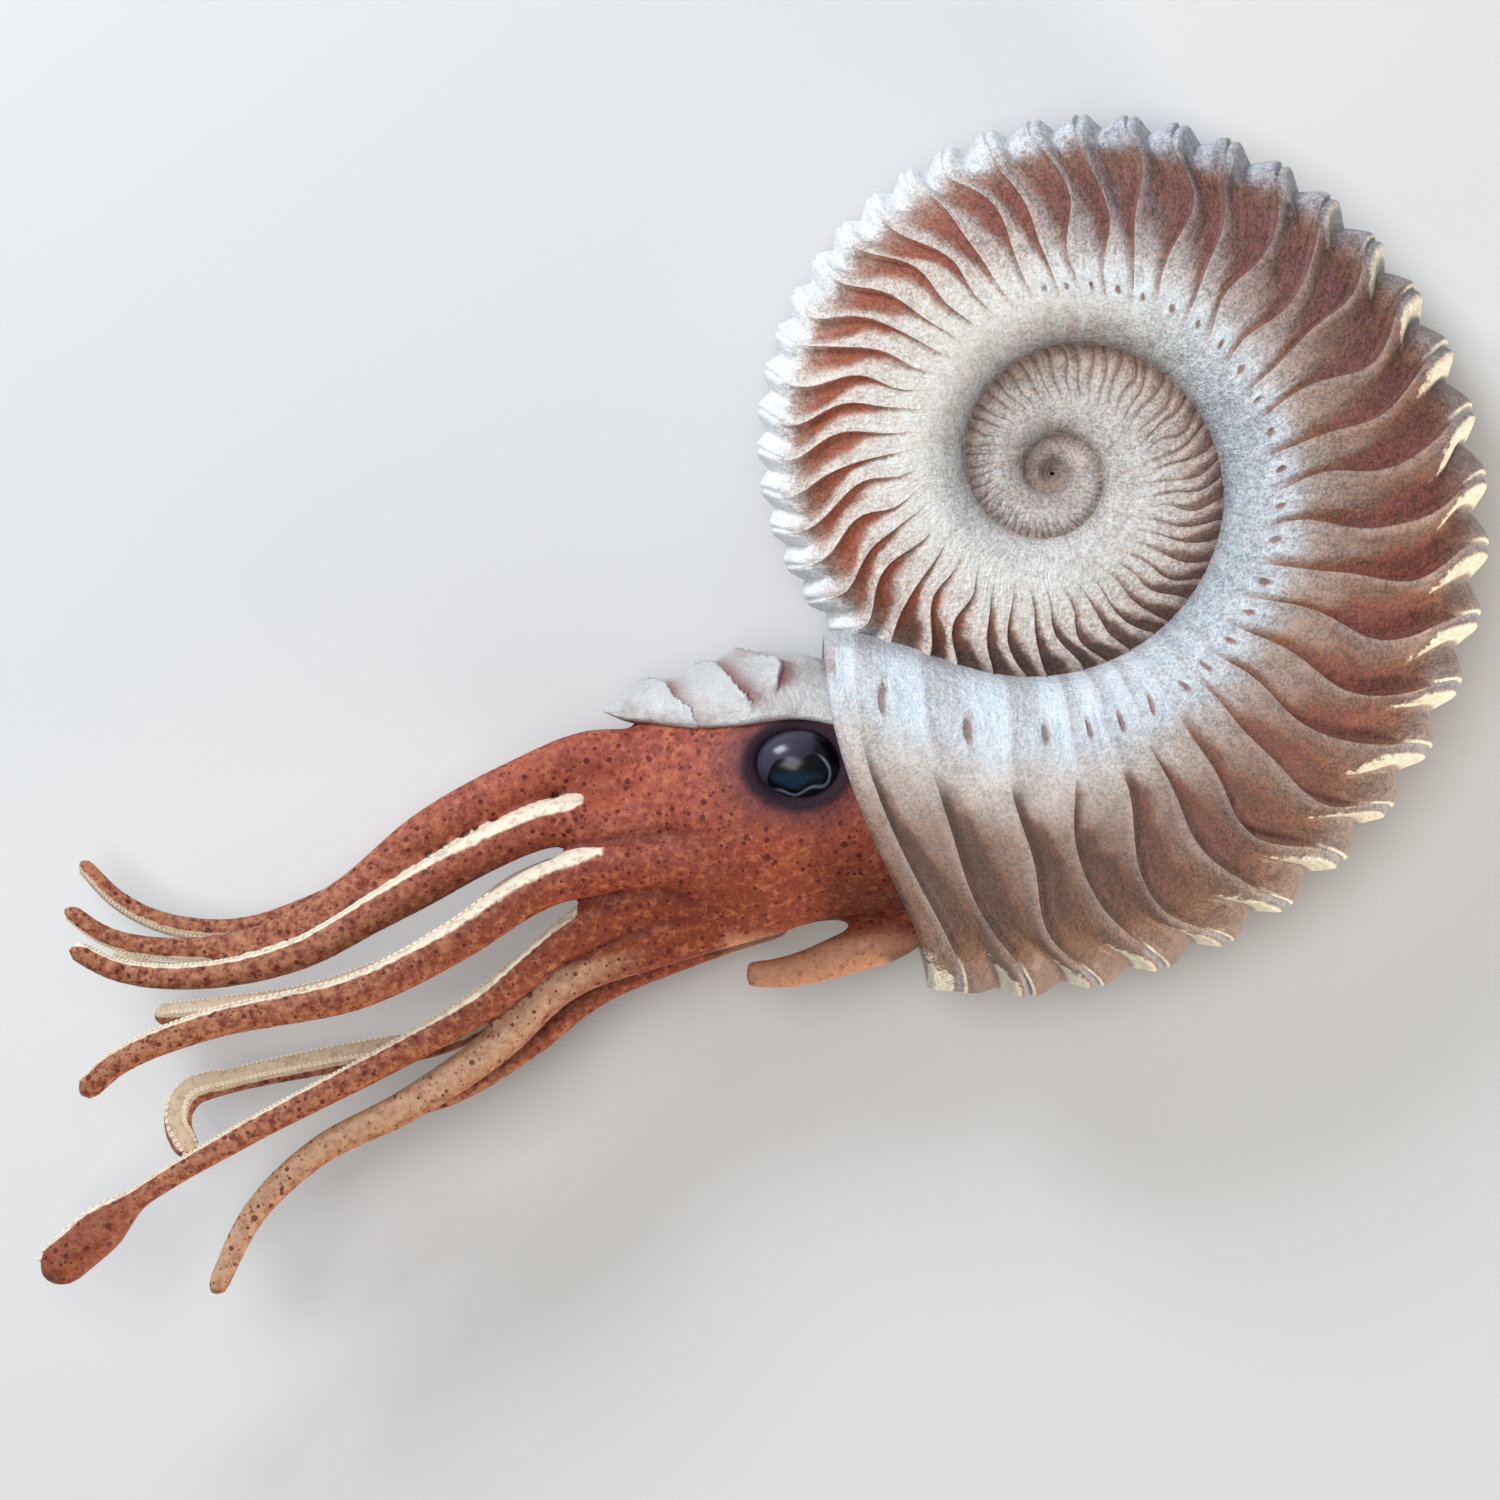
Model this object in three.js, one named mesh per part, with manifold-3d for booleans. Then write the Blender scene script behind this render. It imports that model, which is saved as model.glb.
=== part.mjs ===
// A model of a swimming ammonite: a ribbed, coiled shell with the head, the hood, two eyes,
// the funnel and ten arms at its mouth. It lies on its right flank, with its left flank up.
//
// Millimetres, +Z up. The animal is built in the frame of its coil: the axis of the coil is Z,
// the centre of the coil is the origin, and the arms reach towards -X. At the end the whole
// group is tilted to the way the shell's swelling flank makes it lie, and set on Z = 0.
//
// Angles along the coil are in degrees, growing with the shell towards its mouth, clockwise
// seen from +Z. A share is a distance from the axis of the coil, 1 at the outer edge.

import * as THREE from "three";
import { mergeVertices } from "three/addons/utils/BufferGeometryUtils.js";
import Module from "manifold-3d";

const wasm = await Module();
wasm.setup();

// The coil
const LIP_ANGLE = 463;
const LIP_RADIUS = 90.7;
const GROWTH_PER_TURN = 2.157;
const FIRST_ANGLE = -640;
const CORE_RADIUS = 22;
const CORE_RISE = 4.2;
const HALF_WIDTH_SHARE = 0.228;
const SEAM_SHARE = 0.385;
const SEAM_SHARE_YOUNG = 0.13;
const LIP_SEAM_SHARE = 0.48;
const SHOULDER_SHARE = 0.35;

// The ribs, and the lip that leans further forward towards the seam than they do
const RIBS_PER_TURN = 44.2;
const RIBS_PER_YOUNG_TURN = 50;
const YOUNG_TURN_END = 103;
const FIRST_RIB_ANGLE = 141;
const RIB_DRIFT = 0.563;
const RIB_DRIFT_PERIOD = 255;
const RIB_DRIFT_ANGLE = 35.6;
const RIB_TROUGH_PHASE = 0.38;
const RIB_LEAN = 17;
const LIP_LEAN = 37.5;
const RIB_HEIGHT_EDGE = 0.016;
const RIB_HEIGHT_FLANK = 0.01;
const SECTION_POINTS = 14;
const YOUNG_SECTION_POINTS = 10;
const FIRST_RIB = -26;
const MIDDLE_TURN_RIB = -8;
const LAST_TURN_RIB = 16;
const LAST_RIB = 39;

// The body chamber, which the body fills
const CHAMBER_START_ANGLE = 436;
const CHAMBER_STEP = 3;
const CHAMBER_SCALE = 0.9;
const BODY_SCALE = 0.883;
const GAP = 0.3;

// The head: for each station x, y, half height, half width, and the lean of its plane
const HEAD_STATIONS = [
  [-16, -53, 21, 17, -20],
  [-27.8, -54.5, 21.9, 18, -16],
  [-40.6, -54.9, 21.7, 19, -5],
  [-51.8, -56.1, 23.6, 19.5, 0],
  [-60.3, -58.5, 23, 17.5, 0],
  [-68.9, -60.3, 21.8, 14.5, 2],
  [-73.7, -60.8, 17.5, 11.5, 4],
  [-76.5, -60.5, 10, 7, 4],
];
const HEAD_ROWS = 12;
const HEAD_SIDES = 18;
const EYE_PLACE = [-43.8, -49.7, 15];
const EYE_SIZE = [7.6, 6.1, 5.6];

// The hood: for each station x, y of the ridge, y of the lower edges, and their half width
const HOOD_STATIONS = [
  [-34.5, -33.3, -43.6, 16.4],
  [-43.7, -30.7, -41.7, 16.6],
  [-52.8, -30.7, -42.7, 17],
  [-61.4, -34, -43.2, 13.6],
  [-63.2, -33.1, -43, 13.2],
  [-68.9, -36, -42.2, 9.6],
  [-73.4, -37.9, -41.7, 5],
  [-76.8, -39.9, -40.7, 1.2],
];
const HOOD_THICKNESS = 3.4;
const HOOD_SIDES = 8;

// The limbs: the route of the middle line, the radius at the root and at the tip, how early
// the limb thins, and how far from the start of the route it parts from the head
const LIMB_SIDES = 7;
const ARM_STEPS = 11;
const STUB_STEPS = 2;
const FUNNEL = {
  route: [[-20, -70.5, 0], [-26.6, -78.2, 0], [-35.3, -82.2, 0], [-45.8, -85.4, 0],
    [-52.5, -85.7, 0]],
  thick: [6, 2.4],
  thinning: 0.8,
  fork: 13,
  open: true,
};
const FUNNEL_BORE = {
  route: [[-44.5, -85.2, 0], [-53.5, -85.8, 0]],
  thick: [1.4, 1.6],
  thinning: 1,
  open: true,
};
const ARMS = [
  {
    name: "arm_1_left",
    route: [[-62, -51, 4], [-78, -48.5, 5], [-91, -53, 6], [-106.5, -61, 7], [-120.5, -72, 8],
      [-135, -79.5, 8], [-150, -81, 8], [-160.5, -79, 8], [-168, -74, 8]],
    thick: [6.2, 1.2],
    thinning: 0.65,
    fork: 20,
  },
  {
    name: "arm_1_right",
    route: [[-62, -54, -5], [-81.5, -54, -6], [-95, -57, -7], [-112, -67.5, -8],
      [-126.5, -74.5, -8], [-140, -78.5, -8], [-152.5, -77.5, -8], [-161, -73.5, -8],
      [-168, -66.5, -8]],
    thick: [5.2, 1],
    thinning: 0.5,
    fork: 20,
  },
  {
    name: "arm_2_left",
    route: [[-60, -61, 9], [-73.5, -60.5, 10], [-84, -59.5, 10], [-97, -64.5, 11],
      [-112, -73, 11], [-128.5, -82, 12], [-145.5, -85.5, 12], [-158, -84.5, 12],
      [-166.5, -80.5, 12]],
    thick: [5.6, 1.6],
    thinning: 0.65,
    fork: 22,
  },
  {
    name: "arm_2_right",
    route: [[-60, -61, -9], [-73.5, -60.5, -10], [-84, -60, -10], [-97, -65.5, -11],
      [-112, -74, -11], [-128.5, -82, -12], [-145.5, -86, -12], [-156, -85.5, -12],
      [-163, -82.5, -12]],
    thick: [5.2, 1.4],
    thinning: 0.5,
    fork: 22,
  },
  {
    name: "arm_3_left",
    route: [[-55, -68, 11], [-68.5, -66, 12], [-86, -70, 12], [-102, -80, 12], [-118, -88, 13],
      [-142.5, -93.5, 13], [-157.5, -99.5, 13], [-164.5, -105.5, 13]],
    thick: [5.4, 1.8],
    thinning: 0.65,
    fork: 23,
  },
  {
    name: "arm_3_right",
    route: [[-60.5, -68, -10], [-76, -67.5, -11], [-91, -71.5, -11], [-105.5, -82, -10],
      [-126.5, -90, -10], [-144, -92.5, -10], [-155.5, -93.5, -10]],
    thick: [4.8, 1.7],
    thinning: 0.65,
    fork: 19,
  },
  {
    name: "arm_4_left",
    route: [[-50, -70, 8], [-62.5, -69.5, 9], [-79, -76, 9], [-97, -90.5, 9],
      [-112.5, -99.5, 9], [-136.5, -112, 10], [-155, -123, 10], [-165, -131.5, 10],
      [-171, -136.5, 10]],
    thick: [4.2, 1.6],
    thinning: 0.65,
    fork: 29,
    club: 2.3,
    clubLength: 22,
  },
  {
    name: "arm_4_right",
    route: [[-52, -70.5, -8], [-71, -77.5, -9], [-91.5, -90.5, -9], [-105.5, -97.5, -8],
      [-124, -101, -8], [-141, -104.5, -8], [-149, -107, -8], [-151, -112, -8],
      [-148.5, -118, -8]],
    thick: [4.2, 1.9],
    thinning: 0.65,
    fork: 29,
    club: 0.5,
    clubLength: 22,
  },
  {
    name: "arm_5_left",
    route: [[-45.5, -74, 4], [-65.5, -80, 5], [-83, -86.5, 5], [-95.5, -98, 6],
      [-110.5, -108, 6], [-125, -115.5, 6], [-136, -126, 6], [-143, -140, 6]],
    thick: [3.9, 1.5],
    thinning: 1.2,
    fork: 28,
  },
  {
    name: "arm_5_right",
    route: [[-46.5, -76, -4], [-62, -81.5, -4], [-78.5, -89, -4], [-89.5, -98, -4],
      [-102, -106, -5], [-115.5, -111, -5], [-126, -116, -5], [-134.5, -124, -5]],
    thick: [3.7, 0.9],
    thinning: 1.2,
    fork: 28,
  },
];

// How the model lies, and how much the lowest ribs are worn flat where it rests
const REST_TILT_X = -3.13;
const REST_TILT_Y = 0.76;
const REST_WEAR = 0.4;
const GROUND_SIZE = 400;
const GROUND_DEPTH = 10;

const { cos, sin, abs, max, min, PI } = Math;
const X_AXIS = new THREE.Vector3(1, 0, 0);
const Y_AXIS = new THREE.Vector3(0, 1, 0);
const Z_AXIS = new THREE.Vector3(0, 0, 1);
const radians = THREE.MathUtils.degToRad;
const clamp = THREE.MathUtils.clamp;
const smoothstep = THREE.MathUtils.smoothstep;

const lie = new THREE.Matrix4().makeRotationFromEuler(
  new THREE.Euler(radians(REST_TILT_X), radians(REST_TILT_Y), 0, "YXZ"));

const material = (color, roughness) =>
  new THREE.MeshStandardMaterial({ color, roughness, metalness: 0 });
const SHELL_FINISH = material(0xc9b3a2, 0.45);
const HOOD_FINISH = material(0xe4dcd4, 0.4);
const SKIN_FINISH = material(0xa85a38, 0.5);
const ARM_FINISH = material(0xb87048, 0.5);
const EYE_FINISH = material(0x14161c, 0.08);

// Rings of points, each as long as the next, closed at both ends by a fan round their middle
function loft(rings) {
  const count = rings[0].length;
  const points = rings.flat();
  const triangles = [];
  for (let row = 0; row + 1 < rings.length; row += 1) {
    for (let i = 0; i < count; i += 1) {
      const here = row * count + i;
      const next = row * count + ((i + 1) % count);
      triangles.push(here, next, here + count, next, next + count, here + count);
    }
  }
  for (const [ring, start, flip] of [
    [rings[0], 0, true],
    [rings.at(-1), (rings.length - 1) * count, false],
  ]) {
    const middle = points.length;
    points.push(ring.reduce((sum, p) => sum.add(p), new THREE.Vector3()).divideScalar(count));
    for (let i = 0; i < count; i += 1) {
      const next = start + ((i + 1) % count);
      triangles.push(...(flip ? [next, start + i, middle] : [start + i, next, middle]));
    }
  }
  const geometry = new THREE.BufferGeometry().setFromPoints(points);
  geometry.setIndex(triangles);
  return geometry;
}

function solidOf(geometry) {
  const vertProperties = new Float32Array(geometry.getAttribute("position").array);
  const triVerts = new Uint32Array(geometry.getIndex().array);
  const solid = new wasm.Manifold(new wasm.Mesh({ numProp: 3, vertProperties, triVerts }));
  if (solid.volume() >= 0) return solid;
  const turned = triVerts.map((_, i) => triVerts[i - (i % 3) + [0, 2, 1][i % 3]]);
  return new wasm.Manifold(new wasm.Mesh({ numProp: 3, vertProperties, triVerts: turned }));
}

function meshOf(name, solid, finish) {
  const { vertProperties, triVerts, numProp } = solid.getMesh();
  const geometry = new THREE.BufferGeometry();
  const position = new THREE.BufferAttribute(new Float32Array(vertProperties), numProp);
  geometry.setAttribute("position", position);
  geometry.setIndex(new THREE.BufferAttribute(new Uint32Array(triVerts), 1));
  const mesh = new THREE.Mesh(geometry, finish);
  mesh.name = name;
  return mesh;
}

const outerRadius = (angle) => LIP_RADIUS * GROWTH_PER_TURN ** ((angle - LIP_ANGLE) / 360);

// Where the whorl meets the one inside it: close to the axis in the young shell, and just
// before the lip it swings out to the edge of the whorl inside it
function seamShare(angle) {
  const young = clamp((370 - angle) / 730, 0, 1);
  const flare = max(0, (angle - 470) / 33);
  return SEAM_SHARE - (SEAM_SHARE - SEAM_SHARE_YOUNG) * young + 0.085 * flare ** 2;
}

// Which rib an angle of the outer edge is on, a whole number at each crest. Their spacing
// drifts a little round the turn.
function ribAt(angle) {
  const steady = ((angle - FIRST_RIB_ANGLE) * RIBS_PER_TURN) / 360;
  const young = (min(0, angle - YOUNG_TURN_END) * (RIBS_PER_YOUNG_TURN - RIBS_PER_TURN)) / 360;
  const turn = (2 * PI * (angle - RIB_DRIFT_ANGLE)) / RIB_DRIFT_PERIOD;
  return steady + young + RIB_DRIFT * cos(turn);
}

function angleOfRib(rib) {
  let angle = FIRST_RIB_ANGLE + (rib * 360) / RIBS_PER_TURN;
  for (let step = 0; step < 12; step += 1) {
    angle += ((rib - ribAt(angle)) * 360) / RIBS_PER_YOUNG_TURN;
  }
  return angle;
}

// How far a rib runs ahead of its place on the outer edge: it sweeps forward towards the
// seam, and hooks forward again at the edge. The lip sweeps the most.
function lead(edgeAngle, share) {
  const sweep = (RIB_LEAN * max(0, 0.93 - share)) / 0.48;
  const hook = (2.5 * max(0, share - 0.93)) / 0.07;
  const lip = LIP_LEAN * (max(0, 1 - share) / 0.505) ** 1.55;
  const last = smoothstep(edgeAngle, LIP_ANGLE - 26, LIP_ANGLE);
  return (sweep + hook - 2.5) * (1 - last) + lip * last;
}

// One point of the whorl on the curve that crosses the outer edge at edgeAngle. The section
// is made of two superellipses that meet at the shoulder, the outer one flat-sided.
function whorlPoint(edgeAngle, turn, relief, scale) {
  const seam = seamShare(edgeAngle + lead(edgeAngle, LIP_SEAM_SHARE));
  const side = cos(turn);
  const reach = side > 0 ? side ** (2 / 3.2) : abs(side) ** (2 / 2.6);
  const along = side > 0 ? (1 - SHOULDER_SHARE) * reach : -(SHOULDER_SHARE + 0.01) * reach;
  const across = sin(turn);
  const middle = seam + (1 - seam) * 0.45;
  const bare = seam + (1 - seam) * (SHOULDER_SHARE + along);
  const height = (RIB_HEIGHT_EDGE * max(0, side) + RIB_HEIGHT_FLANK * abs(across)) * relief;
  const fade = smoothstep(along + SHOULDER_SHARE, 0.12, 0.55);
  const raised = bare + height * fade * max(0, side);
  const share = middle + (raised - middle) * scale;
  const angle = edgeAngle + lead(edgeAngle, bare);
  const radius = share * outerRadius(angle);
  const flank = HALF_WIDTH_SHARE * across * scale + height * fade * Math.sign(across);
  return new THREE.Vector3(
    radius * cos(radians(angle)),
    -radius * sin(radians(angle)),
    flank * outerRadius(angle),
  );
}

function whorlRing(edgeAngle, points, relief, scale) {
  return Array.from({ length: points }, (_, i) =>
    whorlPoint(edgeAngle, (2 * PI * i) / points, relief, scale),
  );
}

function whorl(stations, points, scale = 1) {
  return solidOf(loft(stations.map(([angle, relief]) => whorlRing(angle, points, relief, scale))));
}

const smoothStations = (from, to, steps) =>
  Array.from({ length: steps + 1 }, (_, i) => [from + ((to - from) * i) / steps, 0]);

// From the crest of one rib to the crest of another, with the trough ahead of each crest
function ribStations(from, to, relief) {
  const stations = [];
  for (let rib = from; rib < to; rib += 1) {
    stations.push([angleOfRib(rib), relief], [angleOfRib(rib + RIB_TROUGH_PHASE), -relief]);
  }
  stations.push([angleOfRib(to), relief]);
  return stations;
}

// Less than a turn at a time, so that no piece of the coil runs into itself
function makeShell() {
  const lip = ribStations(LAST_TURN_RIB, LAST_RIB, 1);
  lip.push([LIP_ANGLE, 0]);
  const coiled = whorl(smoothStations(FIRST_ANGLE, FIRST_ANGLE + 240, 14), YOUNG_SECTION_POINTS)
    .add(whorl(smoothStations(FIRST_ANGLE + 230, angleOfRib(FIRST_RIB + 1), 18), YOUNG_SECTION_POINTS))
    .add(whorl(ribStations(FIRST_RIB, MIDDLE_TURN_RIB, 1), YOUNG_SECTION_POINTS))
    .add(whorl(ribStations(MIDDLE_TURN_RIB, LAST_TURN_RIB, 1), SECTION_POINTS))
    .add(whorl(lip, SECTION_POINTS))
    .add(makeCore());
  return wornFlat(withoutPockets(coiled.subtract(chamber(CHAMBER_SCALE, CHAMBER_START_ANGLE))));
}

// The turns are grown together, so any pocket that is left between them is filled
const withoutPockets = (solid) =>
  solid.decompose().reduce((largest, one) => (one.volume() > largest.volume() ? one : largest));

// The first turns close on the axis: a dish on either side, below the flanks of the coil
function makeCore() {
  const profile = [[0, -1], [CORE_RADIUS, -CORE_RISE], [CORE_RADIUS, CORE_RISE], [0, 1]];
  const points = profile.map(([radius, height]) => new THREE.Vector2(radius, height));
  return solidOf(welded(new THREE.LatheGeometry(points, 20).rotateX(PI / 2)));
}

function welded(geometry) {
  geometry.deleteAttribute("normal");
  geometry.deleteAttribute("uv");
  return mergeVertices(geometry, 1e-5);
}

// The lowest ribs of the right flank are worn to one plane, on which the model rests
function wornFlat(solid) {
  const lowest = meshOf("shell", solid, SHELL_FINISH).geometry.applyMatrix4(lie);
  lowest.computeBoundingBox();
  const floor = lowest.boundingBox.min.z + REST_WEAR;
  const ground = new THREE.BoxGeometry(GROUND_SIZE, GROUND_SIZE, GROUND_DEPTH);
  ground.translate(0, 0, floor - GROUND_DEPTH / 2).applyMatrix4(lie.clone().invert());
  return solid.subtract(solidOf(welded(ground)));
}

// The room behind the lip, carried on past it so that it opens the mouth
const chamber = (scale, start, end = LIP_ANGLE + 9) =>
  whorl(smoothStations(start, end, Math.round((end - start) / CHAMBER_STEP)), SECTION_POINTS, scale);

// An ellipsoid as rings round its upright axis
function ballRings(centre, [halfX, halfY, halfZ], sides, rows) {
  return Array.from({ length: rows }, (_, row) => {
    const rise = PI * ((row + 0.5) / rows - 0.5);
    const middle = centre.clone().setZ(centre.z + halfZ * sin(rise));
    return ellipseRing(middle, X_AXIS, Y_AXIS, halfX * cos(rise), halfY * cos(rise), sides);
  });
}

function ellipseRing(centre, sideways, upwards, halfWidth, halfHeight, sides) {
  return Array.from({ length: sides }, (_, i) => {
    const turn = (2 * PI * i) / sides;
    return centre.clone()
      .addScaledVector(sideways, halfWidth * cos(turn))
      .addScaledVector(upwards, halfHeight * sin(turn));
  });
}

// The head is a row of ellipses from the body chamber to the crown of arms. Each station is
// the place of its middle, its half height, its half width and the lean of its plane.
const headMiddle = new THREE.CatmullRomCurve3(
  HEAD_STATIONS.map(([x, y]) => new THREE.Vector3(x, y, 0)), false, "centripetal");

function headStation(along) {
  const place = clamp(along, 0, 1) * (HEAD_STATIONS.length - 1);
  const index = min(Math.floor(place), HEAD_STATIONS.length - 2);
  const [, , high0, wide0, lean0] = HEAD_STATIONS[index];
  const [, , high1, wide1, lean1] = HEAD_STATIONS[index + 1];
  const ease = smoothstep(place - index, 0, 1);
  const mixed = (a, b) => THREE.MathUtils.lerp(a, b, ease);
  const lean = radians(mixed(lean0, lean1));
  return {
    middle: headMiddle.getPoint(clamp(along, 0, 1)),
    high: mixed(high0, high1),
    wide: mixed(wide0, wide1),
    up: new THREE.Vector3(sin(lean), cos(lean), 0),
  };
}

function headRing(along, sides, grow) {
  const { middle, high, wide, up } = headStation(along);
  return ellipseRing(middle, Z_AXIS, up, wide + grow, high + grow, sides);
}

// A limb is a round tube along a smooth route, thick at its root and thin at its tip
function limb(shape, from, to, steps, grow = 0) {
  const { route, thick, thinning, club = 0, clubLength = 0, open = false } = shape;
  const curve = new THREE.CatmullRomCurve3(
    route.map(([x, y, z]) => new THREE.Vector3(x, y, z)), false, "centripetal");
  const length = curve.getLength();
  const start = from / length;
  const end = to === undefined ? 1 : to / length;
  const rings = [];
  for (let step = 0; step <= steps; step += 1) {
    const along = min(1, start + ((end - start) * step) / steps);
    const forward = curve.getTangentAt(along);
    const sideways = new THREE.Vector3().crossVectors(forward, Z_AXIS).normalize();
    const upwards = new THREE.Vector3().crossVectors(sideways, forward);
    const left = (1 - along) * length;
    const swell = club * smoothstep(clubLength - left, 0, clubLength * 0.45);
    const taper = THREE.MathUtils.lerp(thick[0], thick[1], along ** thinning) + swell;
    const round = (thick[1] + club) * 1.3;
    const blunt = open || left > round ? 1 : max(0.3, (1 - (1 - left / round) ** 2) ** 0.5);
    const radius = taper * blunt + grow;
    rings.push(ellipseRing(curve.getPointAt(along), sideways, upwards, radius, radius, LIMB_SIDES));
  }
  return solidOf(loft(rings));
}

// The head outside the mouth, with the arms and the funnel leaving it as stubs
function makeFace(grow) {
  const rings = Array.from({ length: HEAD_ROWS + 1 }, (_, row) =>
    headRing(row / HEAD_ROWS, HEAD_SIDES, grow),
  );
  return [...ARMS, FUNNEL].reduce(
    (face, arm) => face.add(limb(arm, 0, arm.fork + grow, STUB_STEPS, grow)),
    solidOf(loft(rings)),
  );
}

// The body goes on behind the head and fills the chamber
function makeHead() {
  return makeFace(0)
    .subtract(mouthWall)
    .add(chamber(BODY_SCALE, CHAMBER_START_ANGLE + CHAMBER_STEP, LIP_ANGLE - CHAMBER_STEP))
    .subtract(eyeBall(1, GAP))
    .subtract(eyeBall(-1, GAP));
}

// The wall of the mouth, a little thicker than it is, so that the soft parts stay clear of it
const mouth = chamber(1.08, CHAMBER_START_ANGLE - 6, LIP_ANGLE + CHAMBER_STEP);
const mouthWall = mouth.subtract(chamber(BODY_SCALE, CHAMBER_START_ANGLE - 9));

function eyeBall(side, grow) {
  const centre = new THREE.Vector3(EYE_PLACE[0], EYE_PLACE[1], side * EYE_PLACE[2]);
  return solidOf(loft(ballRings(centre, EYE_SIZE.map((half) => half + grow), 12, 7)));
}

// The hood is a saddle over the head that runs out to a point above the arms, with one fold
// standing up across it
function makeHood() {
  return solidOf(loft(HOOD_STATIONS.map(hoodRing)))
    .subtract(makeFace(GAP))
    .subtract(mouth)
    .subtract(eyeBall(1, GAP))
    .subtract(eyeBall(-1, GAP));
}

function hoodRing([x, ridge, edge, halfWidth]) {
  const arc = (depth, direction) => Array.from({ length: HOOD_SIDES }, (_, i) => {
    const turn = direction * PI * (i / (HOOD_SIDES - 1) - 0.5);
    const width = max(0.3, halfWidth - depth * 0.7);
    const height = max(0.2, ridge - edge - depth * 0.6);
    return new THREE.Vector3(x, edge - depth * 0.4 + height * cos(turn), width * sin(turn));
  });
  return [...arc(0, 1), ...arc(HOOD_THICKNESS, -1)];
}

const makeFunnel = () =>
  limb(FUNNEL, FUNNEL.fork + GAP, undefined, 6).subtract(limb(FUNNEL_BORE, 0, undefined, 2));

const coil = new THREE.Group();
coil.add(meshOf("shell", makeShell(), SHELL_FINISH));
coil.add(meshOf("head", makeHead(), SKIN_FINISH));
coil.add(meshOf("hood", makeHood(), HOOD_FINISH));
coil.add(meshOf("eye_left", eyeBall(1, 0).subtract(mouthWall), EYE_FINISH));
coil.add(meshOf("eye_right", eyeBall(-1, 0).subtract(mouthWall), EYE_FINISH));
coil.add(meshOf("funnel", makeFunnel(), ARM_FINISH));
for (const arm of ARMS) {
  coil.add(meshOf(arm.name, limb(arm, arm.fork + GAP, undefined, ARM_STEPS), ARM_FINISH));
}

// The coil is laid down, and the middle of the whole model's base becomes the origin
coil.applyMatrix4(lie);
coil.updateMatrixWorld(true);
const extent = new THREE.Box3().setFromObject(coil, true);
const ammonite = new THREE.Group();
ammonite.position.copy(extent.getCenter(new THREE.Vector3()).setZ(extent.min.z)).negate();
ammonite.add(coil);

export default ammonite;
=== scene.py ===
import math

import bpy
import numpy as np
from mathutils import Matrix


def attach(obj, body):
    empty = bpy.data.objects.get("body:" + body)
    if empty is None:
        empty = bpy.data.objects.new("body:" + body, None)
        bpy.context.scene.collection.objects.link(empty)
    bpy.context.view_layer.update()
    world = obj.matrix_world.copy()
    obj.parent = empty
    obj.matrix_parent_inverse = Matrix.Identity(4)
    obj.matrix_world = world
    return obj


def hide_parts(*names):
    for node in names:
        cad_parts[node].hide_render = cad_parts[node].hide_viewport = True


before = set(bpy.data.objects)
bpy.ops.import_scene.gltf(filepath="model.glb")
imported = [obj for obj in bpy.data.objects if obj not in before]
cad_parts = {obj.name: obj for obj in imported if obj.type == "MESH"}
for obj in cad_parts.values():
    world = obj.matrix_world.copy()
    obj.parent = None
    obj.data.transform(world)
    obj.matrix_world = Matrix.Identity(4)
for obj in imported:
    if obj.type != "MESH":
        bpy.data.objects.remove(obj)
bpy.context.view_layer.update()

scene = bpy.context.scene
for thing in [o for o in scene.objects if o.type in {"CAMERA", "LIGHT"}]:
    bpy.data.objects.remove(thing)

# The model lies on its right flank with the left flank up. Everything is worked out in the
# frame of its coil, in millimetres: the coil's axis is Z, its centre is the origin and the
# arms reach towards -X. The coil then tilts to the way it rests and moves to its place.

LIE_TILT_X = -3.13
LIE_TILT_Y = 0.76
COIL_PLACE = np.array([48.5816, 39.1463, 18.1739])

turn_to_lie = (Matrix.Rotation(math.radians(LIE_TILT_Y), 3, "Y")
               @ Matrix.Rotation(math.radians(LIE_TILT_X), 3, "X"))


def laid_down(points):
    """Coil frame in millimetres to the ground frame in metres: turned, moved, and scaled."""
    return (np.asarray(points, float) @ np.array(turn_to_lie).T + COIL_PLACE) / 1000


# The camera looks straight along the coil's axis from above, with a short telephoto lens,
# so that the plane of the coil fills the frame at 0.1714 mm to the pixel.

CAMERA_LENS = 100.0
CAMERA_SENSOR = 36.0
CAMERA_DISTANCE = 714.3
CAMERA_MIDDLE = (-51.77, -47.3)

camera = bpy.data.objects.new("camera", bpy.data.cameras.new("camera"))
scene.collection.objects.link(camera)
camera.data.lens = CAMERA_LENS
camera.data.sensor_width = CAMERA_SENSOR
camera.data.clip_start = 0.05
camera.data.clip_end = 20.0
camera.matrix_world = (Matrix.Translation(laid_down([*CAMERA_MIDDLE, CAMERA_DISTANCE]))
                       @ turn_to_lie.to_4x4())
scene.camera = camera

# A plain pale floor, a cool soft box beyond the left end of the shell, a warm one low on the
# right across the ribs, a soft one overhead, and a pale sky all round.

FLOOR_HALF = 3.0
SKY_STRENGTH = 0.27

floor = bpy.data.objects.new("floor", bpy.data.meshes.new("floor"))
floor.data.from_pydata([(FLOOR_HALF * x, FLOOR_HALF * y, 0)
                        for x, y in ((-1, -1), (1, -1), (1, 1), (-1, 1))], [], [(0, 1, 2, 3)])
scene.collection.objects.link(floor)
floor_paint = bpy.data.materials.new("floor")
floor_paint.use_nodes = True
floor_shader = floor_paint.node_tree.nodes["Principled BSDF"]
floor_shader.inputs["Base Color"].default_value = (0.6, 0.6, 0.61, 1)
floor_shader.inputs["Roughness"].default_value = 0.9
floor.data.materials.append(floor_paint)

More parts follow.
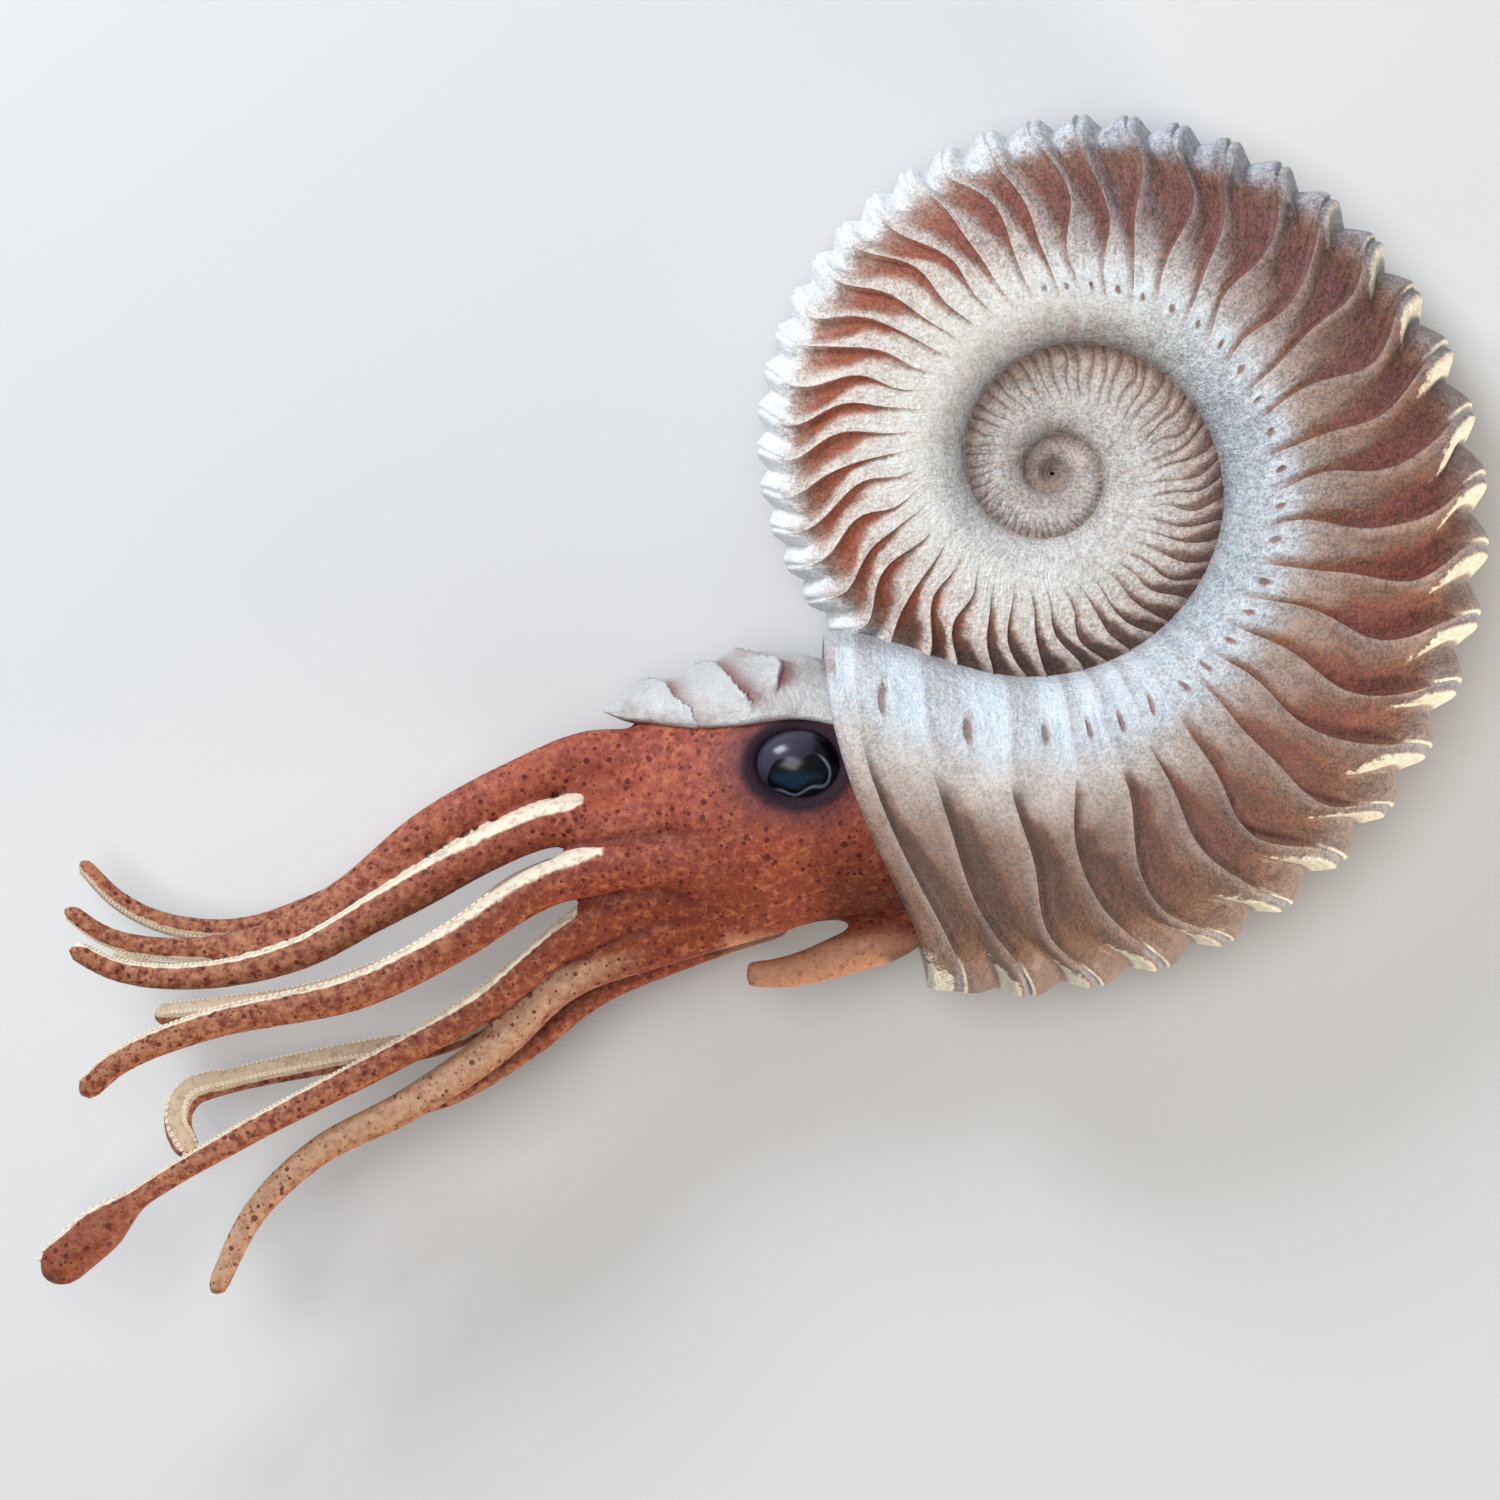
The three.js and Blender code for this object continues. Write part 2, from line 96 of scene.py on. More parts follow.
sky = bpy.data.worlds.new("sky")
sky.use_nodes = True
sky.node_tree.nodes["Background"].inputs["Color"].default_value = (0.9, 0.95, 1.0, 1)
sky.node_tree.nodes["Background"].inputs["Strength"].default_value = SKY_STRENGTH
scene.world = sky
scene.view_settings.view_transform = "Standard"


def soft_box(name, place, aim, size, watts, colour):
    """A square area light at place that faces aim, both in metres."""
    lamp = bpy.data.objects.new(name, bpy.data.lights.new(name, "AREA"))
    lamp.data.size = size
    lamp.data.energy = watts
    lamp.data.color = colour
    away = Matrix.Translation(place).translation - Matrix.Translation(aim).translation
    lamp.matrix_world = (Matrix.Translation(place)
                         @ away.to_track_quat("Z", "Y").to_matrix().to_4x4())
    scene.collection.objects.link(lamp)


soft_box("cool_box", (-0.5, 0.7, 0.5), (0.02, 0.0, 0.02), 0.35, 9, (0.86, 0.94, 1.0))
soft_box("warm_box", (0.85, -0.55, 0.12), (0.05, 0.0, 0.02), 0.2, 13, (1.0, 0.90, 0.72))
soft_box("top_box", (-0.2, 0.1, 1.1), (0.0, 0.0, 0.0), 0.6, 7.5, (1.0, 0.98, 0.95))


# The shell: a plane coil with turns that grow by a little over two each time round, cast in
# one piece and painted. Its ribs overlap like shingles: each has a sharp light edge behind
# and slopes forward into a coloured hollow, and each ends in a blunt tooth on the outer edge.

# Angles are in degrees along the coil, shares are of the outer edge's radius at their angle
LIP_ANGLE = 463.0
LIP_RADIUS = 90.7
GROWTH_PER_TURN = 2.157
FIRST_ANGLE = -1500.0
HALF_WIDTH_SHARE = 0.228
SEAM_ANGLES = (-360.0, 90.0, 180.0, 270.0, 370.0)
SEAM_SHARES = (0.13, 0.255, 0.28, 0.345, 0.385)
LIP_FLARE = 0.085
LIP_SEAM_SHARE = 0.48
SHOULDER_SHARE = 0.35
OUTER_ROUNDING = 3.2
INNER_ROUNDING = 2.6
RIBS_PER_TURN = 44.2
RIBS_PER_YOUNG_TURN = 50.0
YOUNG_TURN_END = 103.0
FIRST_RIB_ANGLE = 141.0
RIB_DRIFT = 0.563
RIB_DRIFT_PERIOD = 255.0
RIB_DRIFT_ANGLE = 35.6
RIB_EDGE_PHASE = 0.14
RIB_HEIGHT_EDGE = 0.016
RIB_HEIGHT_FLANK = 0.01
LIP_LEAN = 37.5
CHAMBER_START_ANGLE = 436.0
CHAMBER_SCALE = 0.885
SECTION_MIDDLE = 0.45
SHELL_ROWS = 60

# How far ahead of its tooth a rib runs, in degrees, at each share of the outer radius, for
# the ribs of four stretches of the last turn: left, top, right and bottom
LEAN_SHARES = (0.40, 0.52, 0.63, 0.70, 0.75, 0.80, 0.85, 0.90, 0.95, 1.00)
LEAN_ANGLES = (190.0, 273.0, 377.0, 424.0)
LEANS = (
    (12.0, 8.5, 6.0, 4.6, 2.8, 0.0, -2.3, -3.3, -2.6, -1.0),
    (12.5, 9.0, 5.8, 4.9, 4.4, 3.2, 1.6, -1.0, -1.8, -1.2),
    (16.0, 13.6, 10.6, 9.8, 9.3, 8.4, 5.8, 2.2, 0.2, -1.0),
    (12.0, 10.0, 8.8, 8.3, 8.4, 8.1, 6.6, 4.6, 1.2, -1.0),
)
LEAN_CURVES = [np.polyfit(LEAN_SHARES, row, 6) for row in LEANS]
RIB_UNREST = 0.75
LEAN_FADE = 26.0


def smooth(x, low, high):
    """0 below low, 1 above high, and an S of slope 0 at both ends between them."""
    t = np.clip((x - low) / (high - low), 0, 1)
    return t * t * (3 - 2 * t)


def outer_radius(angle):
    """Radius of the outer edge, which grows by the same factor every turn."""
    return LIP_RADIUS * GROWTH_PER_TURN ** ((angle - LIP_ANGLE) / 360)


def seam_share(angle):
    """Share of the radius where a turn meets the one inside it: less in the young shell, and
    more by the square of the way past 470 degrees, where the lip flares."""
    flare = np.maximum(0, (angle - 470) / 33)
    return np.interp(angle, SEAM_ANGLES, SEAM_SHARES) + LIP_FLARE * flare**2


def rib_at(angle):
    """Rib number at an angle of the outer edge: steady, closer when young, drifting a little."""
    steady = (angle - FIRST_RIB_ANGLE) * RIBS_PER_TURN / 360
    young = np.minimum(0, angle - YOUNG_TURN_END) * (RIBS_PER_YOUNG_TURN - RIBS_PER_TURN) / 360
    return steady + young + RIB_DRIFT * np.cos(
        2 * np.pi * (angle - RIB_DRIFT_ANGLE) / RIB_DRIFT_PERIOD)


def rib_lead(edge, share):
    """Degrees by which the rib that ends at edge runs ahead of it: one curve over the share
    for each stretch of the turn, mixed by angle, plus three sines of rib number and share
    that set each rib a little apart. Over the last 26 degrees it passes into the lean of
    the lip, a power of the way in from the outer edge."""
    inside = np.clip(share, 0.4, 1.0)
    curves = np.array([np.polyval(c, inside) - np.polyval(c, 1.0) for c in LEAN_CURVES])
    place = np.interp(edge, LEAN_ANGLES, np.arange(4.0))
    weights = [np.maximum(0, 1 - np.abs(place - k)) for k in range(4)]
    lean = sum(w * c for w, c in zip(weights, curves))
    rib = rib_at(edge)
    unrest = (np.sin(2.3 * rib + 11 * share) + 0.7 * np.sin(3.7 * rib - 17 * share + 1)
              + 0.5 * np.sin(1.3 * rib + 26 * share))
    lean = lean + RIB_UNREST * unrest * smooth(inside, 1.0, 0.88) * smooth(inside, 0.42, 0.6)
    lip = LIP_LEAN * (np.maximum(0, 1 - share) / 0.505) ** 1.55
    last = smooth(edge, LIP_ANGLE - LEAN_FADE, LIP_ANGLE)
    return lean * (1 - last) + lip * last


# The light face of a rib ends this far ahead of its sharp edge, as a part of the spacing
FACE_SHARES = (0.46, 0.54, 0.60, 0.66, 0.72, 0.78, 0.84, 0.90, 0.96)
FACE_ENDS = (1.00, 0.86, 0.76, 0.62, 0.42, 0.25, 0.20, 0.30, 0.42)
HOLLOW_DEPTHS = (0.0, 0.35, 0.65, 0.85, 1.0, 1.0, 1.0, 1.0, 1.0)
TEETH_FROM, TEETH_FULL = 0.86, 0.97
GAP_PHASE = 0.53
GAP_HALF = 0.36
GAP_FLOOR = -0.16
GAP_DEPTH = 1.12
NICK_PHASE = 0.03
NICK_HALF = 0.05
NICK_DEPTH = 0.22


def rib_form(phase, share, young):
    """Height from 0 in the hollow to 1 at the rib's sharp edge. On the flank the face slopes
    down a little and then falls into the hollow, which lasts to the next edge. On the outer
    edge a blunt tooth with a nick in it stands between V-shaped gaps. Young ribs are round,
    with thin grooves between them."""
    face = np.interp(share, FACE_SHARES, FACE_ENDS)
    fall = smooth(phase, face - 0.16, face + 0.22)
    floor_form = 0.36 - 0.24 * phase
    flank = (0.92 - 0.3 * np.clip(phase / face, 0, 1) ** 0.7) * (1 - fall) + floor_form * fall
    flank = 0.75 - np.interp(share, FACE_SHARES, HOLLOW_DEPTHS) * (0.75 - flank)
    round_rib = 0.25 + 0.6 * np.abs(np.sin(np.pi * phase)) ** 0.7
    flank = flank * (1 - young) + round_rib * young
    from_gap = np.clip(np.abs(phase - GAP_PHASE) / GAP_HALF, 0, 1)
    tooth = GAP_DEPTH * from_gap**0.9 + GAP_FLOOR
    tooth = tooth - NICK_DEPTH * np.exp(-(((phase - NICK_PHASE) / NICK_HALF) ** 2))
    outer = smooth(share, TEETH_FROM, TEETH_FULL)
    return flank * (1 - outer) + tooth * outer


def whorl(edge, turn, phase, relief, scale):
    """Points of the turn on the curves that cross the outer edge at edge: two superellipses
    that meet at the shoulder, drawn in to their middle by scale, and raised by the ribs,
    which fade towards the seam and start farther out near the mouth. Gives the points, and
    the share and the angle of each before it was raised."""
    seam = seam_share(edge + rib_lead(edge, LIP_SEAM_SHARE))
    side = np.cos(turn)
    across = np.sin(turn)
    rounding = np.where(side > 0, OUTER_ROUNDING, INNER_ROUNDING)
    reach = np.abs(side) ** (2 / rounding)
    along = np.where(side > 0, (1 - SHOULDER_SHARE) * reach, -(SHOULDER_SHARE + 0.01) * reach)
    middle = seam + (1 - seam) * SECTION_MIDDLE
    bare = seam + (1 - seam) * (SHOULDER_SHARE + along)
    form = rib_form(phase, bare, smooth(-edge, -YOUNG_TURN_END - 20, 110))
    amount = RIB_HEIGHT_EDGE * np.maximum(0, side) + RIB_HEIGHT_FLANK * np.abs(across)
    last = smooth(edge, 385, 445)
    start = smooth((along + SHOULDER_SHARE - 0.16 * last) / (1 + 0.35 * last), 0.12, 0.55)
    height = amount * (2 * form - 1) * relief * start
    raised = bare + height * np.maximum(0, side)
    share = middle + (raised - middle) * scale
    angle = edge + rib_lead(edge, bare)
    radius = share * outer_radius(angle)
    rise = (HALF_WIDTH_SHARE * across * scale + height * np.sign(across)) * outer_radius(angle)
    turned = np.radians(angle)
    points = np.stack([radius * np.cos(turned), -radius * np.sin(turned), rise], -1)
    return points, bare, angle


def even_turns(rows):
    """Section angles that space the rows evenly round the section, and half as close again
    on its outer part."""
    turn = np.linspace(0, 2 * np.pi, 4001)
    points, share, _ = whorl(np.full_like(turn, 300.0), turn, 0.0, 0.0, 1.0)
    radius = np.hypot(points[:, 0], points[:, 1])
    steps = np.hypot(np.diff(radius), np.diff(points[:, 2])) * (1 + 0.5 * (share[1:] > 0.62))
    walked = np.concatenate([[0], np.cumsum(steps)])
    return np.interp(np.arange(rows) * walked[-1] / rows, walked, turn)


def rib_columns(first, last, phases):
    """Rib numbers of the columns: each rib from first to last, at each of the phases."""
    return (np.arange(first, last)[:, None] + np.asarray(phases)).ravel()


fine_angles = np.linspace(FIRST_ANGLE, LIP_ANGLE + 20, 8000)
fine_ribs = rib_at(fine_angles) + RIB_EDGE_PHASE
first_rib = int(np.ceil(fine_ribs[0]))
columns = np.concatenate([
    rib_columns(first_rib, -154, (0,)),
    rib_columns(-154, -84, (0, 0.5)),
    rib_columns(-84, -54, (0, 0.15, 0.4, 0.6, 0.85)),
    rib_columns(-54, -4, (0, 0.05, 0.16, 0.28, 0.42, 0.56, 0.7, 0.82, 0.91, 0.965)),
    rib_columns(-4, 39, (0, 0.03, 0.08, 0.15, 0.22, 0.29, 0.37, 0.45, 0.53, 0.61, 0.69, 0.77,
                         0.85, 0.92, 0.972)),
])
lip_rib = np.interp(LIP_ANGLE, fine_angles, fine_ribs)
columns = np.concatenate([columns, np.linspace(39, lip_rib, 9)])
edges = np.interp(columns, fine_ribs, fine_angles)
relief = 0.55 + 0.45 * smooth(edges, YOUNG_TURN_END, YOUNG_TURN_END + 30)
relief = relief * (1 - 0.35 * smooth(edges, 425, 445))
relief = relief * (1 - smooth(edges, LIP_ANGLE - 9, LIP_ANGLE - 2))
scales = 0.03 + 0.97 * smooth(edges, FIRST_ANGLE, FIRST_ANGLE + 90) ** 0.5

# The lip is rounded over, and the wall of the mouth goes back to where the body begins
lip_edges = np.array([0.7, 0.9, 0.7, -0.3, -3, -8, -16, -22, CHAMBER_START_ANGLE - LIP_ANGLE])
lip_scales = np.array([0.985, 0.955, 0.92, 0.895] + [CHAMBER_SCALE] * 5)
edges = np.concatenate([edges, LIP_ANGLE + lip_edges])
columns = np.concatenate([columns, np.full(len(lip_edges), lip_rib)])
relief = np.concatenate([relief, np.zeros(len(lip_edges))])
scales = np.concatenate([scales, lip_scales])

turns = even_turns(SHELL_ROWS)
shell_points, shell_share, shell_angle = whorl(
    edges[:, None], turns[None, :], (columns % 1)[:, None], relief[:, None], scales[:, None])
young = smooth(-edges, -YOUNG_TURN_END - 20, 110)[:, None]

# The turns inside the last one are only seen between their own seam and the next one's:
# brown painted shade lies in the crease there, and on the foot of each turn where it meets
# the one inside
next_seam = seam_share(shell_angle + 360) * GROWTH_PER_TURN
covered = shell_angle + 360 < LIP_ANGLE + 14
crease_out = np.where(covered, (next_seam - shell_share) * outer_radius(shell_angle), 99.0)
crease_in = (shell_share - seam_share(shell_angle)) * outer_radius(shell_angle)
crease = np.clip(np.exp(-np.maximum(0, crease_out - 0.3) / 0.9)
                 + 0.7 * np.exp(-np.maximum(0, crease_in - 1.0) / 0.5), 0, 1)


def put_together(name, points, faces, numbers=None):
    """A mesh object from points in the coil frame, its faces, and named numbers per point.
    A point that would lie under the ground is lifted on to it."""
    mesh = bpy.data.meshes.new(name)
    place = laid_down(points.reshape(-1, 3))
    place[:, 2] = np.maximum(place[:, 2], 0.0)
    mesh.from_pydata(place, [], faces)
    for key, values in (numbers or {}).items():
        layer = mesh.attributes.new(key, "FLOAT", "POINT")
        layer.data.foreach_set("value", np.ascontiguousarray(values, np.float32).ravel())
    mesh.polygons.foreach_set("use_smooth", np.ones(len(mesh.polygons), bool))
    mesh.update()
    piece = bpy.data.objects.new(name, mesh)
    scene.collection.objects.link(piece)
    return piece


def tube_faces(rings, count):
    """Quads between rings of count points each, and a flat many-sided face at both ends."""
    row = np.arange(rings - 1)[:, None] * count
    here = np.arange(count)[None, :]
    after = (here + 1) % count
    quads = np.stack([row + here, row + after, row + count + after, row + count + here], -1)
    start = np.arange(count)[::-1]
    end = np.arange(count) + (rings - 1) * count
    return [*quads.reshape(-1, 4).tolist(), start.tolist(), end.tolist()]


shell = put_together(
    "shell_coil", shell_points, tube_faces(len(edges), SHELL_ROWS),
    {
        "rib": np.broadcast_to(columns[:, None], shell_share.shape),
        "share": shell_share,
        "coil": (shell_angle - 103) / 360,
        "crease": crease,
        "young": np.broadcast_to(young, shell_share.shape),
    },
)


def tint(red, green, blue):
    """A paint colour from its screen values, 0 to 1, made linear."""
    return tuple(((c + 0.055) / 1.055) ** 2.4 if c > 0.04 else c / 12.92
                 for c in (red, green, blue)) + (1.0,)


class Wash:
    """A socket of a shader. Sums of sockets and numbers add Math nodes, and node() adds any
    other node: its settings are set first, then the values or links of its sockets."""

    def __init__(self, tree, socket=None):
        self.tree = tree
        self.socket = socket

    def node(self, kind, settings=None, inputs=None, output=0):
        made = self.tree.nodes.new(kind)
        for key, value in (settings or {}).items():
            if key == "stops":
                ramp = made.color_ramp
                while len(ramp.elements) < len(value):
                    ramp.elements.new(1.0)
                for stop, (place, *paint) in zip(ramp.elements, value):
                    stop.position = place
                    stop.color = tint(*paint) if len(paint) == 3 else (*paint * 3, 1)
            else:
                setattr(made, key, value)
        for key, value in (inputs or {}).items():
            if isinstance(value, Wash):
                self.tree.links.new(value.socket, made.inputs[key])
            else:
                made.inputs[key].default_value = value
        return Wash(self.tree, made.outputs[output])

    def math(self, operation, *values):
        return self.node("ShaderNodeMath", {"operation": operation}, dict(enumerate(values)))

    def __add__(self, other): return self.math("ADD", self, other)
    def __radd__(self, other): return self.math("ADD", other, self)
    def __sub__(self, other): return self.math("SUBTRACT", self, other)
    def __rsub__(self, other): return self.math("SUBTRACT", other, self)
    def __mul__(self, other): return self.math("MULTIPLY", self, other)
    def __rmul__(self, other): return self.math("MULTIPLY", other, self)
    def __truediv__(self, other): return self.math("DIVIDE", self, other)

    def between(self, low, high):
        """0 below low, 1 above high, smooth between; low may be above high."""
        return self.node("ShaderNodeMapRange", {"interpolation_type": "SMOOTHSTEP"},
                         {0: self, 1: low, 2: high, 3: 0.0, 4: 1.0})

    def belt(self, rise, full, fade, end):
        """0 below rise and above end, 1 from full to fade, smooth between."""
        return self.between(rise, full) * self.between(end, fade)

    def ramp(self, *stops):
        """Colours or greys between stops: each is a place, and three screen colours or a grey."""
        return self.node("ShaderNodeValToRGB", {"stops": stops}, {0: self})

    def number(self, name):
        return self.node("ShaderNodeAttribute", {"attribute_name": name}, output="Fac")

    def noise(self, vector, scale, detail=3.0, roughness=0.55, distortion=0.0):
        return self.node("ShaderNodeTexNoise", None, {
            "Vector": vector, "Scale": scale, "Detail": detail, "Roughness": roughness,
            "Distortion": distortion})

    def joined(self, x, y, z):
        return self.node("ShaderNodeCombineXYZ", None, {0: x, 1: y, 2: z})

    def mix(self, under, over, share, blend="MIX"):
        """Colour under with colour over laid on it by share."""
        return self.node("ShaderNodeMix", {"data_type": "RGBA", "blend_type": blend},
                         {"Factor": share, 6: under, 7: over}, output=2)

    def layers(self, ground, *coats):
        """The ground with coats laid on it one by one: each is three screen colours and the
        share by which it covers."""
        for red, green, blue, share in coats:
            ground = self.mix(ground, tint(red, green, blue), share)
        return ground


def new_finish(name, roughness, coat=0.0, specular=0.5):
    """A material with a plain shader, its wash to start from, and the shader node."""
    finish = bpy.data.materials.new(name)
    finish.use_nodes = True
    shader = finish.node_tree.nodes["Principled BSDF"]
    shader.inputs["Roughness"].default_value = roughness
    shader.inputs["Coat Weight"].default_value = coat
    shader.inputs["Coat Roughness"].default_value = 0.25
    shader.inputs["Specular IOR Level"].default_value = specular
    return finish, Wash(finish.node_tree), shader


def wear(finish, shader, **sockets):
    """Links washes to the sockets of the shader, by their names with _ for a space."""
    for key, wash in sockets.items():
        finish.node_tree.links.new(wash.socket, shader.inputs[key.replace("_", " ")])


finish, wash, shader = new_finish("shell_paint", 0.42, 0.05, 0.35)
rib, share, coil, young, crease = map(wash.number, ("rib", "share", "coil", "young", "crease"))
spot = wash.node("ShaderNodeTexCoord", output="Object")
wool = wash.noise(spot, 520.0, 5.0, 0.72)
fuzz = wash.noise(spot, 1900.0, 2.0, 0.6)
cloud = wash.noise(spot, 75.0, 3.0, 0.6)
hue = wash.noise(spot, 900.0, 2.0, 0.6)
striae = wash.noise(wash.joined(rib * 7.0, share * 7.0, coil * 3.0), 1.0, 3.0, 0.6)
fine_striae = wash.noise(wash.joined(rib * 22.0, share * 15.0, coil * 3.0), 1.0, 2.0, 0.6)
wobble = wash.noise(wash.joined(rib * 1.6, share * 11.0, coil), 1.0, 3.0, 0.6)
phase = wash.math("FRACT", rib)
ragged = phase + (wobble - 0.5) * 0.5 + (wool - 0.5) * 0.3
share_w = share + (wobble - 0.5) * 0.09 + (wool - 0.5) * 0.03
left = coil.between(0.52, 0.36)
later = coil.between(0.50, 0.70)
last = coil.between(0.80, 0.98)

# The ground colour from the seam to the outer edge, for the left, top, right and last ribs;
# on the top ribs its grey-blue last stop is a painted highlight on the teeth
left_ground = share_w.ramp(
    (0.38, 0.84, 0.83, 0.82), (0.46, 0.90, 0.89, 0.87), (0.56, 0.88, 0.86, 0.83),
    (0.70, 0.83, 0.78, 0.75), (0.88, 0.80, 0.76, 0.73), (0.95, 0.90, 0.91, 0.92),
)
top_ground = share_w.ramp(
    (0.38, 0.80, 0.77, 0.74), (0.46, 0.86, 0.85, 0.84), (0.53, 0.87, 0.88, 0.88),
    (0.62, 0.74, 0.71, 0.70), (0.72, 0.51, 0.43, 0.42), (0.88, 0.46, 0.39, 0.39),
    (0.96, 0.72, 0.73, 0.76),
)
right_ground = share_w.ramp(
    (0.44, 0.71, 0.74, 0.76), (0.52, 0.76, 0.76, 0.77), (0.60, 0.66, 0.58, 0.53),
    (0.72, 0.55, 0.43, 0.38), (0.88, 0.50, 0.39, 0.36), (0.96, 0.60, 0.54, 0.52),
)
last_ground = share_w.ramp(
    (0.52, 0.87, 0.90, 0.93), (0.60, 0.80, 0.77, 0.75), (0.70, 0.60, 0.51, 0.46),
    (0.84, 0.50, 0.40, 0.35), (0.97, 0.54, 0.44, 0.39),
)
colour = wash.mix(top_ground, left_ground, left)
colour = wash.mix(colour, right_ground, later)
colour = wash.mix(colour, last_ground, last)

# Ochre falls away from the face of each rib into its hollow, soft behind and sharp in front,
# and the red-brown pigment lies in the middle of it. The sharp edge of each rib is pale, with
# a painted highlight laid on top of that on the left
pale_edge_and_highlight = phase.between(0.22, 0.0) * share_w.belt(0.6, 0.72, 0.9, 0.98)
face_end = share_w.ramp(*zip(FACE_SHARES, FACE_ENDS))
hollow = ragged.between(face_end - 0.15, face_end + 0.30)
hollow = hollow * share_w.between(last * 0.12 + 0.48, last * 0.12 + 0.60)
hollow = hollow * share_w.between(later * 0.03 + 0.93, later * 0.03 + 0.87)
groove = phase.between(0.70, 0.97) * share_w.belt(
    last * 0.14 + 0.46, last * 0.14 + 0.54, last * 0.1 + 0.64, last * 0.1 + 0.76)
colour = wash.layers(
    colour,
    (0.84, 0.78, 0.75, pale_edge_and_highlight * (left * 0.34 + 0.26)),
    (0.54, 0.36, 0.23, hollow * 0.66),
    (0.50, 0.31, 0.19, groove * (later * 0.4 + 0.4)),
)
petal = ragged.between(face_end, face_end + 0.34) * share_w.belt(
    0.58, 0.69, later * 0.04 + 0.80, later * 0.03 + 0.90)
pigment = coil.ramp(
    (0.0, 0.34, 0.23, 0.18), (0.12, 0.64, 0.34, 0.22), (0.36, 0.60, 0.34, 0.26),
    (0.48, 0.50, 0.33, 0.31), (0.64, 0.50, 0.34, 0.33), (0.76, 0.56, 0.33, 0.28),
    (0.88, 0.50, 0.31, 0.27), (1.0, 0.44, 0.33, 0.29),
)
colour = wash.mix(colour, pigment, petal * (wool * 0.7 + 0.55))

# Painted shade on the ribs by the mouth: dark hollows, dark lines, and grey bands on their
# undulations; a painted shadow on the oldest ribs of the last turn, where they meet the lip;
# and painted highlights on the outer edge: cream wedges with grey-blue tops on the teeth
# painted shade in the hollow of each rib by the mouth
painted_rib_shade = ragged.belt(face_end + 0.08, face_end + 0.3, face_end + 0.45, face_end + 0.75)
painted_rib_shade = painted_rib_shade * share_w.belt(0.66, 0.74, 0.85, 0.95)
# painted shade: a dark line along the front of each rib
line = phase.between(0.78, 0.97) * share_w.belt(0.57, 0.66, 0.88, 0.95)
# painted shade: grey bands on the undulations of the white shoulder
undulation_shade = phase.belt(0.30, 0.70, 0.85, 1.0) * share_w.between(0.64, 0.54)
# painted shadow on the oldest ribs of the last turn, where they meet the lip
painted_shadow = coil.between(0.17, 0.03) * share_w.between(0.68, 0.84) * ragged.between(0.28, 0.55)
# painted highlight: cream wedges on the lit slopes of the teeth, and thin light strips at the rib
# ends
rim_share = share + (wool - 0.5) * 0.14 + (phase - 0.3) * 0.12
rim = rim_share.between(last * 0.06 + 0.885, last * 0.06 + 0.905)
rim = rim * phase.belt(0.11, 0.17, 0.42, 0.50)
rim = rim + share_w.between(0.92, 0.96) * phase.belt(0.92, 0.95, 0.98, 1.0)
# painted highlight: grey-blue sheen on the tops of the teeth
tooth_top_sheen = share_w.between(0.92, 0.97) * phase.between(0.12, 0.08)
colour = wash.layers(
    colour,
    (0.27, 0.21, 0.18, painted_rib_shade * last * 0.5),
    (0.22, 0.16, 0.13, line * (later * 0.2 + last * 0.5)),
    (0.62, 0.57, 0.56, undulation_shade * last * 0.45),
    (0.21, 0.18, 0.17, painted_shadow * 0.8),
    (0.93, 0.91, 0.84, rim * later * 0.8),
    (0.62, 0.64, 0.68, tooth_top_sheen * later * 0.6),
)

# The inner turns: whitish inside, tan outside, with thin brown grooves; the brown at their seam is
# painted shade
young_tint = share.ramp(
    (0.20, 0.76, 0.72, 0.69), (0.42, 0.81, 0.78, 0.76), (0.56, 0.77, 0.73, 0.70),
    (0.70, 0.73, 0.65, 0.60), (0.86, 0.66, 0.55, 0.49),
)
young_groove = (phase.between(0.80, 1.0) + phase.between(0.22, 0.0)) * share.between(0.34, 0.56)
patch = ragged.between(0.45, 0.7) * share.between(0.62, 0.78) * coil.between(-0.45, -0.1)
young_tint = wash.layers(
    young_tint,
    (0.38, 0.26, 0.20, young_groove * 0.5),
    (0.50, 0.30, 0.23, patch * 0.6),
    (0.84, 0.75, 0.71, coil.between(-1.1, -1.8) * 0.9),
)
colour = wash.mix(colour, young_tint, young)

# One pit to a rib on its white shoulder, longer towards the mouth, on a low white boss whose
# blue-white is a painted highlight
pit_x = (phase - 0.45 + (wobble - 0.5) * 0.25) / (0.075 - last * 0.02)
pit_y = (share - 0.508 + (wobble - 0.5) * 0.03) / (last * 0.010 + 0.0105)
pit_far = pit_x * pit_x + pit_y * pit_y
seen = coil.between(0.40, 0.5)
pit = pit_far.between(1.9, 0.1) * seen
# the boss is raised in the bump and also painted with a blue-white highlight
boss = (phase - 0.5) * (phase - 0.5) * 7.0
boss = boss.between(1.0, 0.0) * share.belt(0.46, 0.50, 0.53, 0.57) * seen
colour = wash.layers(
    colour,
    # brown painted shade in the crease at each seam
    (0.36, 0.25, 0.20, crease * (0.2 + wool * 0.5)),
    (0.84, 0.87, 0.89, boss * 0.5),
    (0.70, 0.60, 0.57, pit_far.between(5.0, 1.0) * seen * 0.35),
    (0.52, 0.35, 0.30, pit * (0.8 - last * 0.15)),
)

